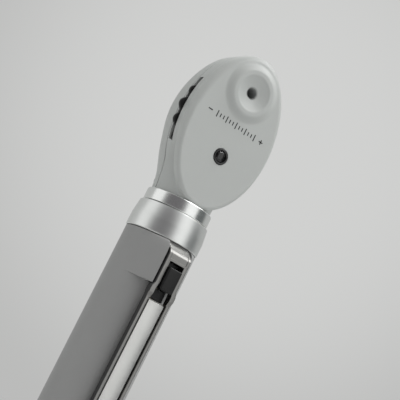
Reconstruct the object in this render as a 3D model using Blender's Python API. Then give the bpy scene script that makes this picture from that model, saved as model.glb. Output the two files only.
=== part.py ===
"""Pocket direct ophthalmoscope on a battery handle.

It stands upright on the flat foot of its handle, which is the origin. +Z runs up
the handle to the head, -Y is the examiner's side and +X is the examiner's right.
All sizes are in metres.
"""

import math

import bmesh
import bpy
from mathutils import Matrix, Vector

# ---------------------------------------------------------------- driving sizes
GAP = 0.0003                # clearance between neighbouring pieces

HANDLE_RADIUS = 0.00975
COLLAR_RADIUS = 0.0100
HANDLE_TOP = 0.1180         # shoulder under the collar
FOOT_THICKNESS = 0.0030
BORE_RADIUS = 0.0076        # takes two AA cells
NECK_RADIUS = 0.0087        # handle neck inside the collar
NECK_TOP = 0.1220

COLLAR_TOP = 0.1258
COLLAR_TOP_RADIUS = 0.00955
RING_TOP = 0.1292
RING_RADIUS = 0.0090

FACE_HALF_WIDTH = 0.0134    # the oval face
FACE_HALF_HEIGHT = 0.0213
FACE_MIDDLE = RING_TOP + 0.0209
FACE_Y = -0.0087
PLATE_DEPTH = 0.0020        # thickness of the face plate before it fades out
HEAD_NECK_RADIUS = 0.0083
HEAD_DEPTH = 0.0085         # from the axis to the patient side
HEAD_WALL = 0.0013
PARTING_Y = -0.0016         # where the two shells meet above the neck

SIGHT_Z = RING_TOP + 0.0324
SIGHT_RADIUS = 0.0016
BOSS_RADIUS = 0.0081         # raised ring round the sight hole
BOSS_TOP_RADIUS = 0.0056
BOSS_HEIGHT = 0.0011
DISH_RADIUS = 0.0049
WINDOW_Z = RING_TOP + 0.01395
WINDOW_RADIUS = 0.00205

PATIENT_WINDOW_Z = RING_TOP + 0.0272
PATIENT_WINDOW_RADIUS = 0.0025

DISC_Z = RING_TOP + 0.0211
DISC_Y = -0.0031            # middle of the lens disc
DISC_THICKNESS = 0.0011
DISC_RADIUS = 0.01455
TRACK_RADIUS = 0.0151       # room for the disc, open at both flanks
SCALLOPS = 19
SCALLOP_DEPTH = 0.0015
SCALLOP_PHASE = math.radians(3.2)
LENS_STATIONS = 19
LENS_CIRCLE = SIGHT_Z - DISC_Z
LENS_RADIUS = 0.0011

CELL_RADIUS = 0.00725
CELL_BODY = 0.0492
CELL_NUB = 0.0010
CELL_START = 0.0093

SHOULDER_FRONT = 0.0127     # how far the shoulders stand from the axis
CLIP_FRONT = 0.0129         # the same for the bar's rails, at its top
CLIP_LEAN = 0.0186          # the bar comes closer to the handle towards its end
CLIP_HALF_WIDTH = 0.0036
CLIP_RAIL = 0.0009
CLIP_FLOOR = 0.0119
CLIP_BOTTOM = 0.0600
FRAME_FRONT = 0.0134
FRAME_HALF_WIDTH = 0.0033
FRAME_FLARE = 0.0038        # half width where the frame meets the bar
RECESS_HALF_WIDTH = 0.0022
BUTTON_FRONT = 0.0145
RECESS_TOP = HANDLE_TOP - 0.0047
RECESS_BOTTOM = HANDLE_TOP - 0.0149
SLIDER_TRAVEL = 0.0025
SHOULDER_BOTTOM = HANDLE_TOP - 0.0113
SHOULDER_HALF_WIDTH = 0.0036
SHOULDER_ROUNDING = 0.0036  # how far below the collar the shoulders have curved out

APERTURE_Y = 0.0044
APERTURE_Z = RING_TOP + 0.0080
APERTURE_RADIUS = 0.0056
APERTURE_THICKNESS = 0.0009
APERTURES = 5

ROUND = 48                  # sides of the large turned pieces
SMALL_ROUND = 20            # sides of the small ones


# ---------------------------------------------------------------- materials
def material(name, colour, roughness, metallic=0.0, alpha=1.0):
    made = bpy.data.materials.new(name)
    made.use_nodes = True
    shader = made.node_tree.nodes["Principled BSDF"]
    shader.inputs["Base Color"].default_value = (*colour, 1.0)
    shader.inputs["Roughness"].default_value = roughness
    shader.inputs["Metallic"].default_value = metallic
    shader.inputs["Alpha"].default_value = alpha
    return made


def make_materials():
    return {
        "head": material("head_plastic", (0.43, 0.45, 0.43), 0.45),
        "handle": material("handle_plastic", (0.24, 0.24, 0.24), 0.50),
        "black": material("black_plastic", (0.015, 0.016, 0.016), 0.40),
        "aluminium": material("satin_aluminium", (0.75, 0.76, 0.75), 0.28, 1.0),
        "polished": material("polished_aluminium", (0.80, 0.81, 0.80), 0.18, 1.0),
        "steel": material("clip_steel", (0.66, 0.66, 0.64), 0.25, 1.0),
        "label": material("silver_label", (0.80, 0.80, 0.78), 0.22, 1.0),
        "brass": material("brass", (0.60, 0.44, 0.20), 0.30, 1.0),
        "glass": material("glass", (0.90, 0.93, 0.95), 0.03, 0.0, 0.35),
        "mirror": material("mirror", (0.90, 0.90, 0.90), 0.02, 1.0),
        "cell": material("cell_sleeve", (0.10, 0.12, 0.16), 0.35),
        "white": material("white_plastic", (0.70, 0.70, 0.68), 0.50),
    }


# ---------------------------------------------------------------- mesh helpers
def new_object(name, bm, finish, smooth=math.radians(40)):
    bmesh.ops.recalc_face_normals(bm, faces=bm.faces)
    mesh = bpy.data.meshes.new(name)
    bm.to_mesh(mesh)
    bm.free()
    mesh.shade_smooth()
    mesh.set_sharp_from_angle(angle=smooth)
    made = bpy.data.objects.new(name, mesh)
    bpy.context.scene.collection.objects.link(made)
    if finish:
        mesh.materials.append(finish)
    return made


def turned(name, profile, finish, sides=ROUND):
    """A piece turned about its own Z axis. The profile is a closed loop of (radius, height)."""
    bm = bmesh.new()
    points = [bm.verts.new((radius, 0.0, height)) for radius, height in profile]
    edges = [bm.edges.new((a, b)) for a, b in zip(points, points[1:] + points[:1])]
    bmesh.ops.spin(bm, geom=points + edges, cent=(0, 0, 0), axis=(0, 0, 1),
                   angle=math.tau, steps=sides, use_merge=True)
    bmesh.ops.remove_doubles(bm, verts=bm.verts, dist=1e-7)
    axis_edges = [e for e in bm.edges if len(e.link_faces) == 0]
    bmesh.ops.delete(bm, geom=axis_edges, context="EDGES")
    return new_object(name, bm, finish)


def rod(name, radius, low, high, finish, sides=SMALL_ROUND):
    return turned(name, [(0, low), (radius, low), (radius, high), (0, high)], finish, sides)


def box(name, low, high, finish, bevel=0.0):
    bm = bmesh.new()
    bmesh.ops.create_cube(bm, size=1.0)
    size = Vector(high) - Vector(low)
    middle = (Vector(high) + Vector(low)) / 2
    bmesh.ops.transform(bm, matrix=Matrix.Translation(middle) @ Matrix.Diagonal((*size, 1.0)),
                        verts=bm.verts)
    if bevel:
        bmesh.ops.bevel(bm, geom=bm.edges, offset=bevel, segments=2, profile=0.5,
                        affect="EDGES")
    return new_object(name, bm, finish)


def prism(name, outline, low, high, finish, along="X"):
    """An outline pushed along X, Y or Z. Its pairs are (y, z), (x, z) or (x, y)."""
    place = {
        "X": lambda a, b, depth: (depth, a, b),
        "Y": lambda a, b, depth: (a, depth, b),
        "Z": lambda a, b, depth: (a, b, depth),
    }[along]
    bm = bmesh.new()
    base = bm.faces.new([bm.verts.new(place(a, b, low)) for a, b in outline])
    pushed = bmesh.ops.extrude_face_region(bm, geom=[base])
    ends = [v for v in pushed["geom"] if isinstance(v, bmesh.types.BMVert)]
    bmesh.ops.translate(bm, vec=place(0, 0, high - low), verts=ends)
    return new_object(name, bm, finish)


def boolean(target, other, operation="DIFFERENCE"):
    """Cuts or joins with a helper, which the finished model leaves out."""
    other.hide_render = True
    other.display_type = "WIRE"
    modifier = target.modifiers.new(other.name, "BOOLEAN")
    modifier.operation = operation
    modifier.solver = "EXACT"
    modifier.object = other


def face_along_y(made, x, y, z):
    """Lays a turned piece down so that its axis points at the patient side, +Y."""
    made.rotation_euler = (-math.pi / 2, 0, 0)
    made.location = (x, y, z)


def arc(cx, cy, radius, start, end, steps):
    """Points on an arc, in degrees, both ends included."""
    angles = [math.radians(start + (end - start) * i / steps) for i in range(steps + 1)]
    return [(cx + radius * math.cos(a), cy + radius * math.sin(a)) for a in angles]


def coil(name, wire, turns, low, high, low_radius, high_radius, finish, sides=6):
    """A round-wire compression spring."""
    per_turn = 14
    steps = int(turns * per_turn)
    path = []
    for i in range(steps + 1):
        share = i / steps
        angle = math.tau * turns * share
        radius = low_radius + (high_radius - low_radius) * share
        path.append(Vector((radius * math.cos(angle), radius * math.sin(angle),
                            low + wire + (high - low - 2 * wire) * share)))
    bm = bmesh.new()
    rings = []
    for i, point in enumerate(path):
        ahead = path[min(i + 1, steps)] - path[max(i - 1, 0)]
        across = Vector((point.x, point.y, 0)).normalized()
        upward = ahead.cross(across).normalized()
        rings.append([bm.verts.new(point + wire * (math.cos(math.tau * k / sides) * across
                                                   + math.sin(math.tau * k / sides) * upward))
                      for k in range(sides)])
    for one, two in zip(rings, rings[1:]):
        for k in range(sides):
            bm.faces.new((one[k], one[(k + 1) % sides], two[(k + 1) % sides], two[k]))
    bm.faces.new(rings[0])
    bm.faces.new(rings[-1])
    return new_object(name, bm, finish)


# ---------------------------------------------------------------- head form
def smooth_step(value):
    value = min(max(value, 0.0), 1.0)
    return value * value * (3 - 2 * value)


def soft_max(a, b, blend):
    overlap = max(blend - abs(a - b), 0.0) / blend
    return max(a, b) + overlap * overlap * blend / 4


def oval(z, inset):
    """Half width of the oval at height z, drawn in by inset all round."""
    share = (z - FACE_MIDDLE) / (FACE_HALF_HEIGHT - inset)
    return (FACE_HALF_WIDTH - inset) * math.sqrt(max(0.0, 1 - share * share))


def face_edge(z):
    """Rounding of the face's rim: crisp near the neck, softer towards the top."""
    return 0.0010 + 0.0010 * smooth_step((z - RING_TOP - 0.010) / 0.026)


def plate_half_width(y, z, wall):
    """Half width of the face plate: a rounded rim in front, fading out behind."""
    front = FACE_Y + wall
    edge = face_edge(z)
    inset = wall
    if y < front + edge:
        inset += edge - math.sqrt(max(0.0, edge ** 2 - (y - front - edge) ** 2))
    if y > front + PLATE_DEPTH:
        inset += 0.0006 * ((y - front - PLATE_DEPTH) / 0.001) ** 2
    if abs(z - FACE_MIDDLE) >= FACE_HALF_HEIGHT - inset or inset >= FACE_HALF_WIDTH:
        return 0.0
    return oval(z, inset)


def body_half_width(y, z, wall):
    """Half width of the body behind the plate: round at the neck, boxier higher up."""
    rise = z - RING_TOP
    neck = HEAD_NECK_RADIUS - wall + 0.0024 * smooth_step(rise / 0.012)
    width = soft_max(oval(z, wall), neck * (1 - smooth_step((rise - 0.012) / 0.01)), 0.0008)
    top_share = max(0.0, (z - FACE_MIDDLE) / (FACE_HALF_HEIGHT + 0.0003 - wall))
    blunt = 5 if y > 0 else 14
    depth = (HEAD_DEPTH - wall) * max(0.0, 1 - top_share ** blunt) ** (1 / blunt)
    round_neck = HEAD_NECK_RADIUS - wall
    if rise < 0.005:
        depth = round_neck + (depth - round_neck) * smooth_step(rise / 0.005)
    if depth <= 0 or abs(y) >= depth:
        return 0.0
    if y > 0:
        power = 2 + 0.9 * smooth_step((rise - 0.011) / 0.012)
        power -= 0.6 * smooth_step((rise - 0.025) / 0.012)
    else:
        power = 2 + 4 * smooth_step((rise - 0.007) / 0.011)
    return width * (1 - (abs(y) / depth) ** power) ** (1 / power)


def head_half_width(y, z, wall):
    plate = plate_half_width(y, z, wall)
    body = body_half_width(y, z, wall)
    if plate <= 0 or body <= 0:
        return max(plate, body)
    return soft_max(plate, body, 0.0008)


def head_reach(z, wall, way):
    """How far the form reaches towards the examiner (way -1) or the patient (way +1)."""
    y = FACE_Y + wall if way < 0 else HEAD_DEPTH
    step = 0.00002
    while head_half_width(y, z, wall) <= 0 and y * way > 0:
        y -= way * step
    return y


def head_form(name, wall, low, high, levels, across, finish):
    """The head's outer form, drawn in by a wall thickness, between two heights."""
    bm = bmesh.new()
    rings = []
    for i in range(levels + 1):
        share = 1 - math.cos(math.pi / 2 * (1 - i / levels))
        z = high - (high - low) * share
        z = min(z, high - 0.00002)
        front = head_reach(z, wall, -1)
        back = head_reach(z, wall, 1)
        ys = [front + (back - front) * (1 - math.cos(math.pi * j / across)) / 2
              for j in range(across + 1)]
        half = [head_half_width(y, z, wall) for y in ys]
        half[-1] = 0.0
        if i == levels:
            half = [0.0] * len(half)
        right = [bm.verts.new((x, y, z)) for x, y in zip(half, ys)]
        left = [bm.verts.new((-x, y, z)) for x, y in zip(half[:-1], ys[:-1])]
        rings.append(right + left[::-1])
    for one, two in zip(rings, rings[1:]):
        count = len(one)
        for k in range(count):
            bm.faces.new((one[k], one[(k + 1) % count], two[(k + 1) % count], two[k]))
    bm.faces.new(rings[0][::-1])
    bmesh.ops.remove_doubles(bm, verts=bm.verts, dist=2e-6)
    return new_object(name, bm, finish)


def parting_y(z):
    """Where front and rear shell meet: mid-neck below, just behind the lens disc above."""
    return PARTING_Y * smooth_step((z - RING_TOP - 0.002) / 0.007)


def parting_block(name, way):
    """Everything on one side of the parting surface."""
    steps = 8
    curved = 0.010
    heights = [RING_TOP + curved * i / steps for i in range(steps + 1)]
    curve = [(parting_y(z) + way * GAP / 2, z) for z in heights]
    low = (curve[0][0], COLLAR_TOP - 0.005)
    high = (curve[-1][0], RING_TOP + 0.060)
    outer = way * 0.030
    outline = [low] + curve + [high, (outer, high[1]), (outer, low[1])]
    return prism(name, outline, -0.030, 0.030, None)


# ---------------------------------------------------------------- handle
def shoulder_section(reach, half):
    """One level of the raised shoulders: flat flanks that leave the tube at a tangent."""
    radius = HANDLE_RADIUS - 0.00005
    edge = math.hypot(half, reach)
    turn = math.atan2(half, reach) + math.acos(radius / edge)
    tangent = (radius * math.sin(turn), -radius * math.cos(turn))
    inside = (tangent[0] * 0.7, tangent[1] * 0.7)
    right = [(half, -reach), tangent, inside]
    return right + [(-x, y) for x, y in right[::-1]]


def make_shoulders():
    half = SHOULDER_HALF_WIDTH
    reach = SHOULDER_FRONT
    top = HANDLE_TOP - 0.00002
    start = COLLAR_RADIUS + 0.0001
    levels = [(SHOULDER_BOTTOM, reach)]
    steps = 5
    for i in range(steps + 1):
        angle = math.pi / 2 * i / steps
        levels.append((top - SHOULDER_ROUNDING * (1 - math.sin(angle)),
                       start + (reach - start) * math.cos(angle)))
    bm = bmesh.new()
    rings = []
    for z, out in levels:
        rings.append([bm.verts.new((x, y, z)) for x, y in shoulder_section(out, half)])
    for one, two in zip(rings, rings[1:]):
        for k in range(len(one)):
            n = (k + 1) % len(one)
            bm.faces.new((one[k], one[n], two[n], two[k]))
    bm.faces.new(rings[0])
    bm.faces.new(rings[-1])
    return new_object("shoulders_helper", bm, None)


def make_handle_body(finish):
    foot = 0.0015
    profile = [(0, 0)] + arc(HANDLE_RADIUS - foot, foot, foot, -90, 0, 5)
    profile += [(HANDLE_RADIUS, HANDLE_TOP), (NECK_RADIUS, HANDLE_TOP)]
    profile += [(NECK_RADIUS, NECK_TOP), (0, NECK_TOP)]
    body = turned("handle_body", profile, finish, 64)
    boolean(body, make_shoulders(), "UNION")
    boolean(body, rod("bore_cutter", BORE_RADIUS, FOOT_THICKNESS, NECK_TOP + 0.002, None, ROUND))
    front = -0.016
    flat = -0.0093
    slot = CLIP_HALF_WIDTH - 0.0001
    boolean(body, box("clip_seat_cutter", (-slot, front, SHOULDER_BOTTOM - 0.0002),
                      (slot, flat, HANDLE_TOP + 0.00001), None))
    boolean(body, box("switch_pocket_cutter", (-0.0025, front, RECESS_BOTTOM - 0.0001),
                      (0.0025, -0.0085, RECESS_TOP + 0.0002), None))
    boolean(body, box("strip_groove_cutter", (-0.0016, -0.0086, FOOT_THICKNESS + 0.00002),
                      (0.0016, -0.0060, RECESS_BOTTOM + 0.0020), None))
    return body


def make_collar(finish):
    low = HANDLE_TOP + GAP / 2
    high = COLLAR_TOP - GAP / 2
    straight = HANDLE_TOP + 0.0042
    bore = NECK_RADIUS + GAP
    flange = NECK_TOP + GAP
    chamfer = 0.0002
    profile = [
        (bore, low), (COLLAR_RADIUS - chamfer, low), (COLLAR_RADIUS, low + chamfer),
        (COLLAR_RADIUS, straight), (COLLAR_TOP_RADIUS, high - chamfer),
        (COLLAR_TOP_RADIUS - chamfer, high), (0.0046, high), (0.0046, flange), (bore, flange),
    ]
    return turned("collar", profile, finish)


def make_cell(name, low, finish):
    shoulder = low + CELL_BODY
    rounding = 0.0006
    profile = [(0, low), (CELL_RADIUS - rounding, low), (CELL_RADIUS, low + rounding),
               (CELL_RADIUS, shoulder - rounding), (CELL_RADIUS - rounding, shoulder),
               (0.0027, shoulder), (0.0027, shoulder + CELL_NUB), (0, shoulder + CELL_NUB)]
    return turned(name, profile, finish, 24)


def make_power(finishes):
    lower_top = CELL_START + CELL_BODY + CELL_NUB
    upper_start = lower_top + GAP
    upper_top = upper_start + CELL_BODY + CELL_NUB
    coil("battery_spring", 0.0004, 3.5, FOOT_THICKNESS + GAP, CELL_START - GAP,
         0.0060, 0.0028, finishes["steel"])
    make_cell("battery_lower", CELL_START, finishes["cell"])
    make_cell("battery_upper", upper_start, finishes["cell"])
    flange_top = upper_top + GAP + 0.0008
    pin_top = COLLAR_TOP + 0.0001
    turned("contact_pin",
           [(0, upper_top + GAP), (0.0024, upper_top + GAP), (0.0024, flange_top),
            (0.0012, flange_top), (0.0012, pin_top - 0.0004), (0.0008, pin_top), (0, pin_top)],
           finishes["brass"], SMALL_ROUND)
    insulator_low = 0.1155
    coil("contact_spring", 0.0003, 3, flange_top + GAP, insulator_low - GAP,
         0.0019, 0.0019, finishes["steel"])
    step = NECK_TOP - 0.0001
    turned("contact_insulator",
           [(0.0015, insulator_low), (0.0073, insulator_low), (0.0073, step), (0.0042, step),
            (0.0042, COLLAR_TOP - 0.0006), (0.0015, COLLAR_TOP - 0.0006)],
           finishes["white"], 32)
    box("contact_strip", (-0.0013, -0.0082, FOOT_THICKNESS + GAP),
        (0.0013, -0.0078, RECESS_BOTTOM + 0.0015), finishes["brass"])


# ---------------------------------------------------------------- switch and clip
def make_switch(finishes):
    housing = box("switch_housing", (-0.0020, -0.0110, RECESS_BOTTOM + 0.0002),
                  (0.0020, -0.0099, RECESS_TOP - 0.0002), finishes["black"])
    slider_top = RECESS_TOP - 0.0014
    slider_low = slider_top - 0.0060
    stem_low = slider_low + 0.0027
    stem_high = stem_low + 0.0020
    slot_low = stem_low - SLIDER_TRAVEL - GAP
    boolean(housing, box("stem_slot_cutter", (-0.0010, -0.0120, slot_low),
                         (0.0010, -0.0090, stem_high + GAP), None))
    half = RECESS_HALF_WIDTH - GAP
    knob = box("switch_slider", (-half, -BUTTON_FRONT, slider_low), (half, -0.0113, slider_top),
               finishes["black"], 0.0003)
    boolean(knob, box("slider_stem", (-0.0007, -0.0120, stem_low), (0.0007, -0.0094, stem_high),
                      None), "UNION")
    box("switch_contact", (-0.0009, -0.0092, slider_low + 0.0002),
        (0.0009, -0.0088, slider_top - 0.0004), finishes["brass"])


def make_clip_frame(finish):
    """Fixed metal frame round the switch, its sloped top tucked under the collar."""
    top = HANDLE_TOP - 0.0004
    bottom = RECESS_BOTTOM
    bend_top = SHOULDER_BOTTOM + 0.0006
    bend_low = SHOULDER_BOTTOM - 0.0011
    outline = [(FRAME_HALF_WIDTH, top), (FRAME_HALF_WIDTH, bend_top),
               (FRAME_FLARE, bend_low), (FRAME_FLARE, bottom)]
    outline += [(-x, z) for x, z in outline[::-1]]
    frame = prism("clip_frame", outline, -FRAME_FRONT, -0.0096, finish, "Y")
    lip = RECESS_TOP + 0.0020
    slope = [(-FRAME_FRONT - 0.001, lip), (-FRAME_FRONT, lip)]
    slope += [(-FRAME_FRONT + 0.0004, lip + 0.0005), (-COLLAR_RADIUS - 0.0005, top - 0.0004),
              (-COLLAR_RADIUS - 0.0003, top + 0.001), (-FRAME_FRONT - 0.001, top + 0.001)]
    boolean(frame, prism("clip_slope_cutter", slope, -0.006, 0.006, None))
    low_slope = [(-FRAME_FRONT - 0.001, bottom - 0.001), (-CLIP_FRONT, bottom - 0.001),
                 (-CLIP_FRONT, bottom), (-FRAME_FRONT, bottom + 0.0015),
                 (-FRAME_FRONT - 0.001, bottom + 0.0015)]
    boolean(frame, prism("clip_step_cutter", low_slope, -0.006, 0.006, None))
    boolean(frame, box("clip_back_cutter", (-0.006, -0.0112, bottom - 0.001),
                       (0.006, -0.0090, SHOULDER_BOTTOM - 0.0001), None))
    wide = RECESS_HALF_WIDTH + 0.0003
    recess = [(RECESS_HALF_WIDTH, RECESS_TOP), (RECESS_HALF_WIDTH, bend_top), (wide, bend_low),
              (wide, bottom - 0.001)]
    recess += [(-x, z) for x, z in recess[::-1]]
    boolean(frame, prism("recess_cutter", recess, -0.016, -0.009, None, "Y"))
    return frame


def lean(made, top):
    """Tilts a piece of the clip so that it nears the handle below that height."""
    for vertex in made.data.vertices:
        vertex.co.y += CLIP_LEAN * (top - vertex.co.z)
    return made


def make_clip_bar(finishes):
    """Sprung bar with a channel for the label, free of the handle below its root."""
    top = RECESS_BOTTOM - GAP
    end = CLIP_HALF_WIDTH
    outline = [(CLIP_HALF_WIDTH, top)] + arc(0, CLIP_BOTTOM + end, end, 0, -180, 12)
    outline += [(-CLIP_HALF_WIDTH, top)]
    back = -0.0112
    bar = lean(prism("clip_bar", outline, -CLIP_FRONT, back, finishes["steel"], "Y"), top)
    inner = CLIP_HALF_WIDTH - CLIP_RAIL
    channel = [(inner, top + 0.001)] + arc(0, CLIP_BOTTOM + end, inner, 0, -180, 12)
    channel += [(-inner, top + 0.001)]
    floor = prism("clip_channel_cutter", channel, -0.014, -CLIP_FLOOR - 0.0001, None, "Y")
    boolean(bar, lean(floor, top))
    bump = arc(back - 0.0004, CLIP_BOTTOM + 0.0045, 0.0009, -80, 80, 6)
    root = back - 0.0003
    bump = [(root, bump[0][1])] + bump + [(root, bump[-1][1])]
    boolean(bar, lean(prism("clip_bump", bump, -0.0020, 0.0020, None), top), "UNION")
    label = inner - 0.0004
    shape = [(label, top - 0.0001)] + arc(0, CLIP_BOTTOM + end, label, 0, -180, 12)
    shape += [(-label, top - 0.0001)]
    strip = prism("clip_label", shape, -CLIP_FRONT + 0.0003, -CLIP_FLOOR - 0.0002,
                  finishes["label"], "Y")
    lean(strip, top)


# ---------------------------------------------------------------- head shells
def make_head_ring(finish):
    low = COLLAR_TOP + GAP / 2
    chamfer = 0.0004
    profile = [(0.0072, low), (RING_RADIUS - 0.00015, low), (RING_RADIUS, low + 0.00015),
               (RING_RADIUS, RING_TOP - chamfer), (RING_RADIUS - chamfer, RING_TOP),
               (0.0072, RING_TOP)]
    return turned("head_ring", profile, finish)


SCREWS = {
    "shell_screw_top": (0.0, RING_TOP + 0.0389, 0.0070),
    "shell_screw_left": (-0.0062, RING_TOP + 0.0026, 0.0052),
    "shell_screw_right": (0.0062, RING_TOP + 0.0026, 0.0052),
}
SCREW_TIP = -0.0045


def screw_cutter(name, x, z, seat):
    """Clearance for the shank, with a counterbore for the screw's head."""
    shank = 0.00080
    head = 0.00125
    made = turned(name, [(0, SCREW_TIP - GAP), (shank, SCREW_TIP - GAP), (shank, seat - 0.0010),
                         (head, seat - 0.0010), (head, 0.012), (0, 0.012)], None, 16)
    face_along_y(made, x, 0, z)
    return made


def make_screw(name, x, z, seat, finish):
    low = seat - 0.0010 + 0.0001
    screw = turned(name, [(0, SCREW_TIP), (0.0004, SCREW_TIP), (0.00065, SCREW_TIP + 0.0004),
                          (0.00065, low), (0.0011, low), (0.0011, low + 0.0006),
                          (0.0008, low + 0.0009), (0, low + 0.0009)], finish, 12)
    face_along_y(screw, x, 0, z)
    slot = box(name + "_slot", (x - 0.0014, low + 0.0005, z - 0.00018),
               (x + 0.0014, low + 0.0015, z + 0.00018), None)
    boolean(screw, slot)
    return screw


def shell_blank(name, way, finish):
    """One half of the hollow head: the form, less its cavity, on one side of the parting."""
    top = FACE_MIDDLE + FACE_HALF_HEIGHT
    shell = head_form(name, 0.0, RING_TOP + 0.0001, top, 26, 18, finish)
    stub = rod(name + "_stub", 0.0069, COLLAR_TOP + GAP, RING_TOP + 0.002, None, 32)
    boolean(shell, stub, "UNION")
    cavity = head_form(name + "_cavity", HEAD_WALL, RING_TOP + 0.0045, top - HEAD_WALL, 14, 12, None)
    boolean(shell, cavity)
    boolean(shell, rod(name + "_bore", 0.0046, COLLAR_TOP - 0.001, RING_TOP + 0.006, None, 24))
    boss = rod(name + "_boss", 0.0016, -0.0078, 0.0066, None, 16)
    face_along_y(boss, SCREWS["shell_screw_top"][0], 0, SCREWS["shell_screw_top"][1])
    boolean(shell, boss, "UNION")
    boolean(shell, parting_block(name + "_side", way), "INTERSECT")
    track = rod(name + "_track", TRACK_RADIUS, DISC_Y - DISC_THICKNESS / 2 - GAP,
                DISC_Y + DISC_THICKNESS / 2 + GAP, None, ROUND)
    face_along_y(track, 0, 0, DISC_Z)
    boolean(shell, track)
    for screw, (x, z, seat) in SCREWS.items():
        boolean(shell, screw_cutter(name + "_" + screw, x, z, seat))
    return shell


def face_examiner(made, z):
    """Lays a turned piece down on the middle line so that its axis points at -Y."""
    made.rotation_euler = (math.pi / 2, 0, 0)
    made.location = (0, 0, z)


def make_front_shell(finish):
    """The examiner's side, with a raised dished brow rest round the sight hole."""
    shell = shell_blank("head_front_shell", -1, finish)
    face = -FACE_Y
    crest = face + BOSS_HEIGHT
    steps = 6
    slope = [(BOSS_RADIUS + (BOSS_TOP_RADIUS - BOSS_RADIUS) * i / steps,
              face + BOSS_HEIGHT * smooth_step(i / steps)) for i in range(steps + 1)]
    root = face - 0.0007
    boss = turned("sight_boss", [(0, root), (BOSS_RADIUS, root)] + slope + [(0, crest)], None, 32)
    face_examiner(boss, SIGHT_Z)
    boolean(shell, boss, "UNION")
    depth = face - 0.0002
    above = crest + 0.0008
    dish = turned("sight_dish", [(0, depth), (SIGHT_RADIUS, depth), (DISH_RADIUS, crest),
                                 (DISH_RADIUS + 0.0011, above), (0, above)], None, 32)
    face_examiner(dish, SIGHT_Z)
    boolean(shell, dish)
    hole = rod("sight_hole_cutter", SIGHT_RADIUS, -0.012, 0.0, None, SMALL_ROUND)
    face_along_y(hole, 0, 0, SIGHT_Z)
    boolean(shell, hole)
    window = rod("window_cutter", WINDOW_RADIUS + 0.0001, -0.012, -0.006, None, SMALL_ROUND)
    face_along_y(window, 0, 0, WINDOW_Z)
    boolean(shell, window)
    seat = rod("axle_boss", 0.0023, -0.0078, -0.0042, None, SMALL_ROUND)
    face_along_y(seat, 0, 0, DISC_Z)
    boolean(shell, seat, "UNION")
    bore = rod("axle_bore_cutter", 0.0013, -0.0072, -0.0035, None, SMALL_ROUND)
    face_along_y(bore, 0, 0, DISC_Z)
    boolean(shell, bore)
    return shell


def make_rear_shell(finish):
    shell = shell_blank("head_rear_shell", 1, finish)
    view = rod("view_hole_cutter", 0.0016, 0.004, 0.012, None, SMALL_ROUND)
    face_along_y(view, 0, 0, SIGHT_Z)
    boolean(shell, view)
    hole = PATIENT_WINDOW_RADIUS + 0.0001
    light = rod("light_hole_cutter", hole, 0.004, 0.012, None, SMALL_ROUND)
    face_along_y(light, 0, 0, PATIENT_WINDOW_Z)
    boolean(shell, light)
    half_height = APERTURE_THICKNESS / 2 + 1.5 * GAP
    slot = rod("aperture_slot_cutter", APERTURE_RADIUS + GAP, APERTURE_Z - half_height,
               APERTURE_Z + half_height, None, ROUND)
    slot.location = (0, APERTURE_Y, 0)
    boolean(shell, slot)
    return shell


# ---------------------------------------------------------------- lens disc
def station_place(index, radius):
    angle = math.pi / 2 + math.tau * index / LENS_STATIONS
    return radius * math.cos(angle), DISC_Z + radius * math.sin(angle)


def make_lens_disc(finish):
    points = []
    per_scallop = 6
    for i in range(SCALLOPS * per_scallop):
        turn = math.tau * i / (SCALLOPS * per_scallop)
        angle = turn + math.pi - SCALLOP_PHASE
        radius = DISC_RADIUS - SCALLOP_DEPTH * (1 - abs(math.cos(SCALLOPS * turn / 2)))
        points.append((radius * math.cos(angle), DISC_Z + radius * math.sin(angle)))
    low = DISC_Y - DISC_THICKNESS / 2
    high = DISC_Y + DISC_THICKNESS / 2
    disc = prism("lens_disc", points, low, high, finish, "Y")
    for index in range(LENS_STATIONS):
        x, z = station_place(index, LENS_CIRCLE)
        hole = rod(f"station_cutter_{index:02d}", LENS_RADIUS + 0.00015, low - 0.001,
                   high + 0.001, None, 12)
        face_along_y(hole, x, 0, z)
        boolean(disc, hole)
    hub = rod("hub_cutter", 0.0013, low - 0.001, high + 0.001, None, SMALL_ROUND)
    face_along_y(hub, 0, 0, DISC_Z)
    boolean(disc, hub)
    return disc


def make_disc_lenses(finish):
    """One small lens in each station but the open one, which starts behind the sight hole."""
    for index in range(1, LENS_STATIONS):
        x, z = station_place(index, LENS_CIRCLE)
        crown = 0.0001 + 0.00002 * index
        edge = 0.0002
        profile = [(0, -edge - crown / 2), (LENS_RADIUS, -edge), (LENS_RADIUS, edge),
                   (0, edge + crown / 2)]
        lens = turned(f"disc_lens_{index:02d}", profile, finish, 12)
        face_along_y(lens, x, DISC_Y, z)


def make_disc_axle(finish):
    axle = turned("lens_disc_axle",
                  [(0, -0.0071), (0.0012, -0.0071), (0.0012, -0.0022), (0.0020, -0.0022),
                   (0.0020, -0.0014), (0, -0.0014)], finish, SMALL_ROUND)
    face_along_y(axle, 0, 0, DISC_Z)


def make_detent(finish):
    """Leaf spring that rests on the back of the lens disc and clicks into its stations."""
    z = DISC_Z - 0.0100
    outline = [(DISC_Y + 0.0009, z + 0.0006), (DISC_Y + 0.0012, z + 0.0006),
               (DISC_Y + 0.0016, z - 0.0022), (DISC_Y + 0.0013, z - 0.0022)]
    prism("detent_spring", outline, 0.0030, 0.0070, finish)


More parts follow.
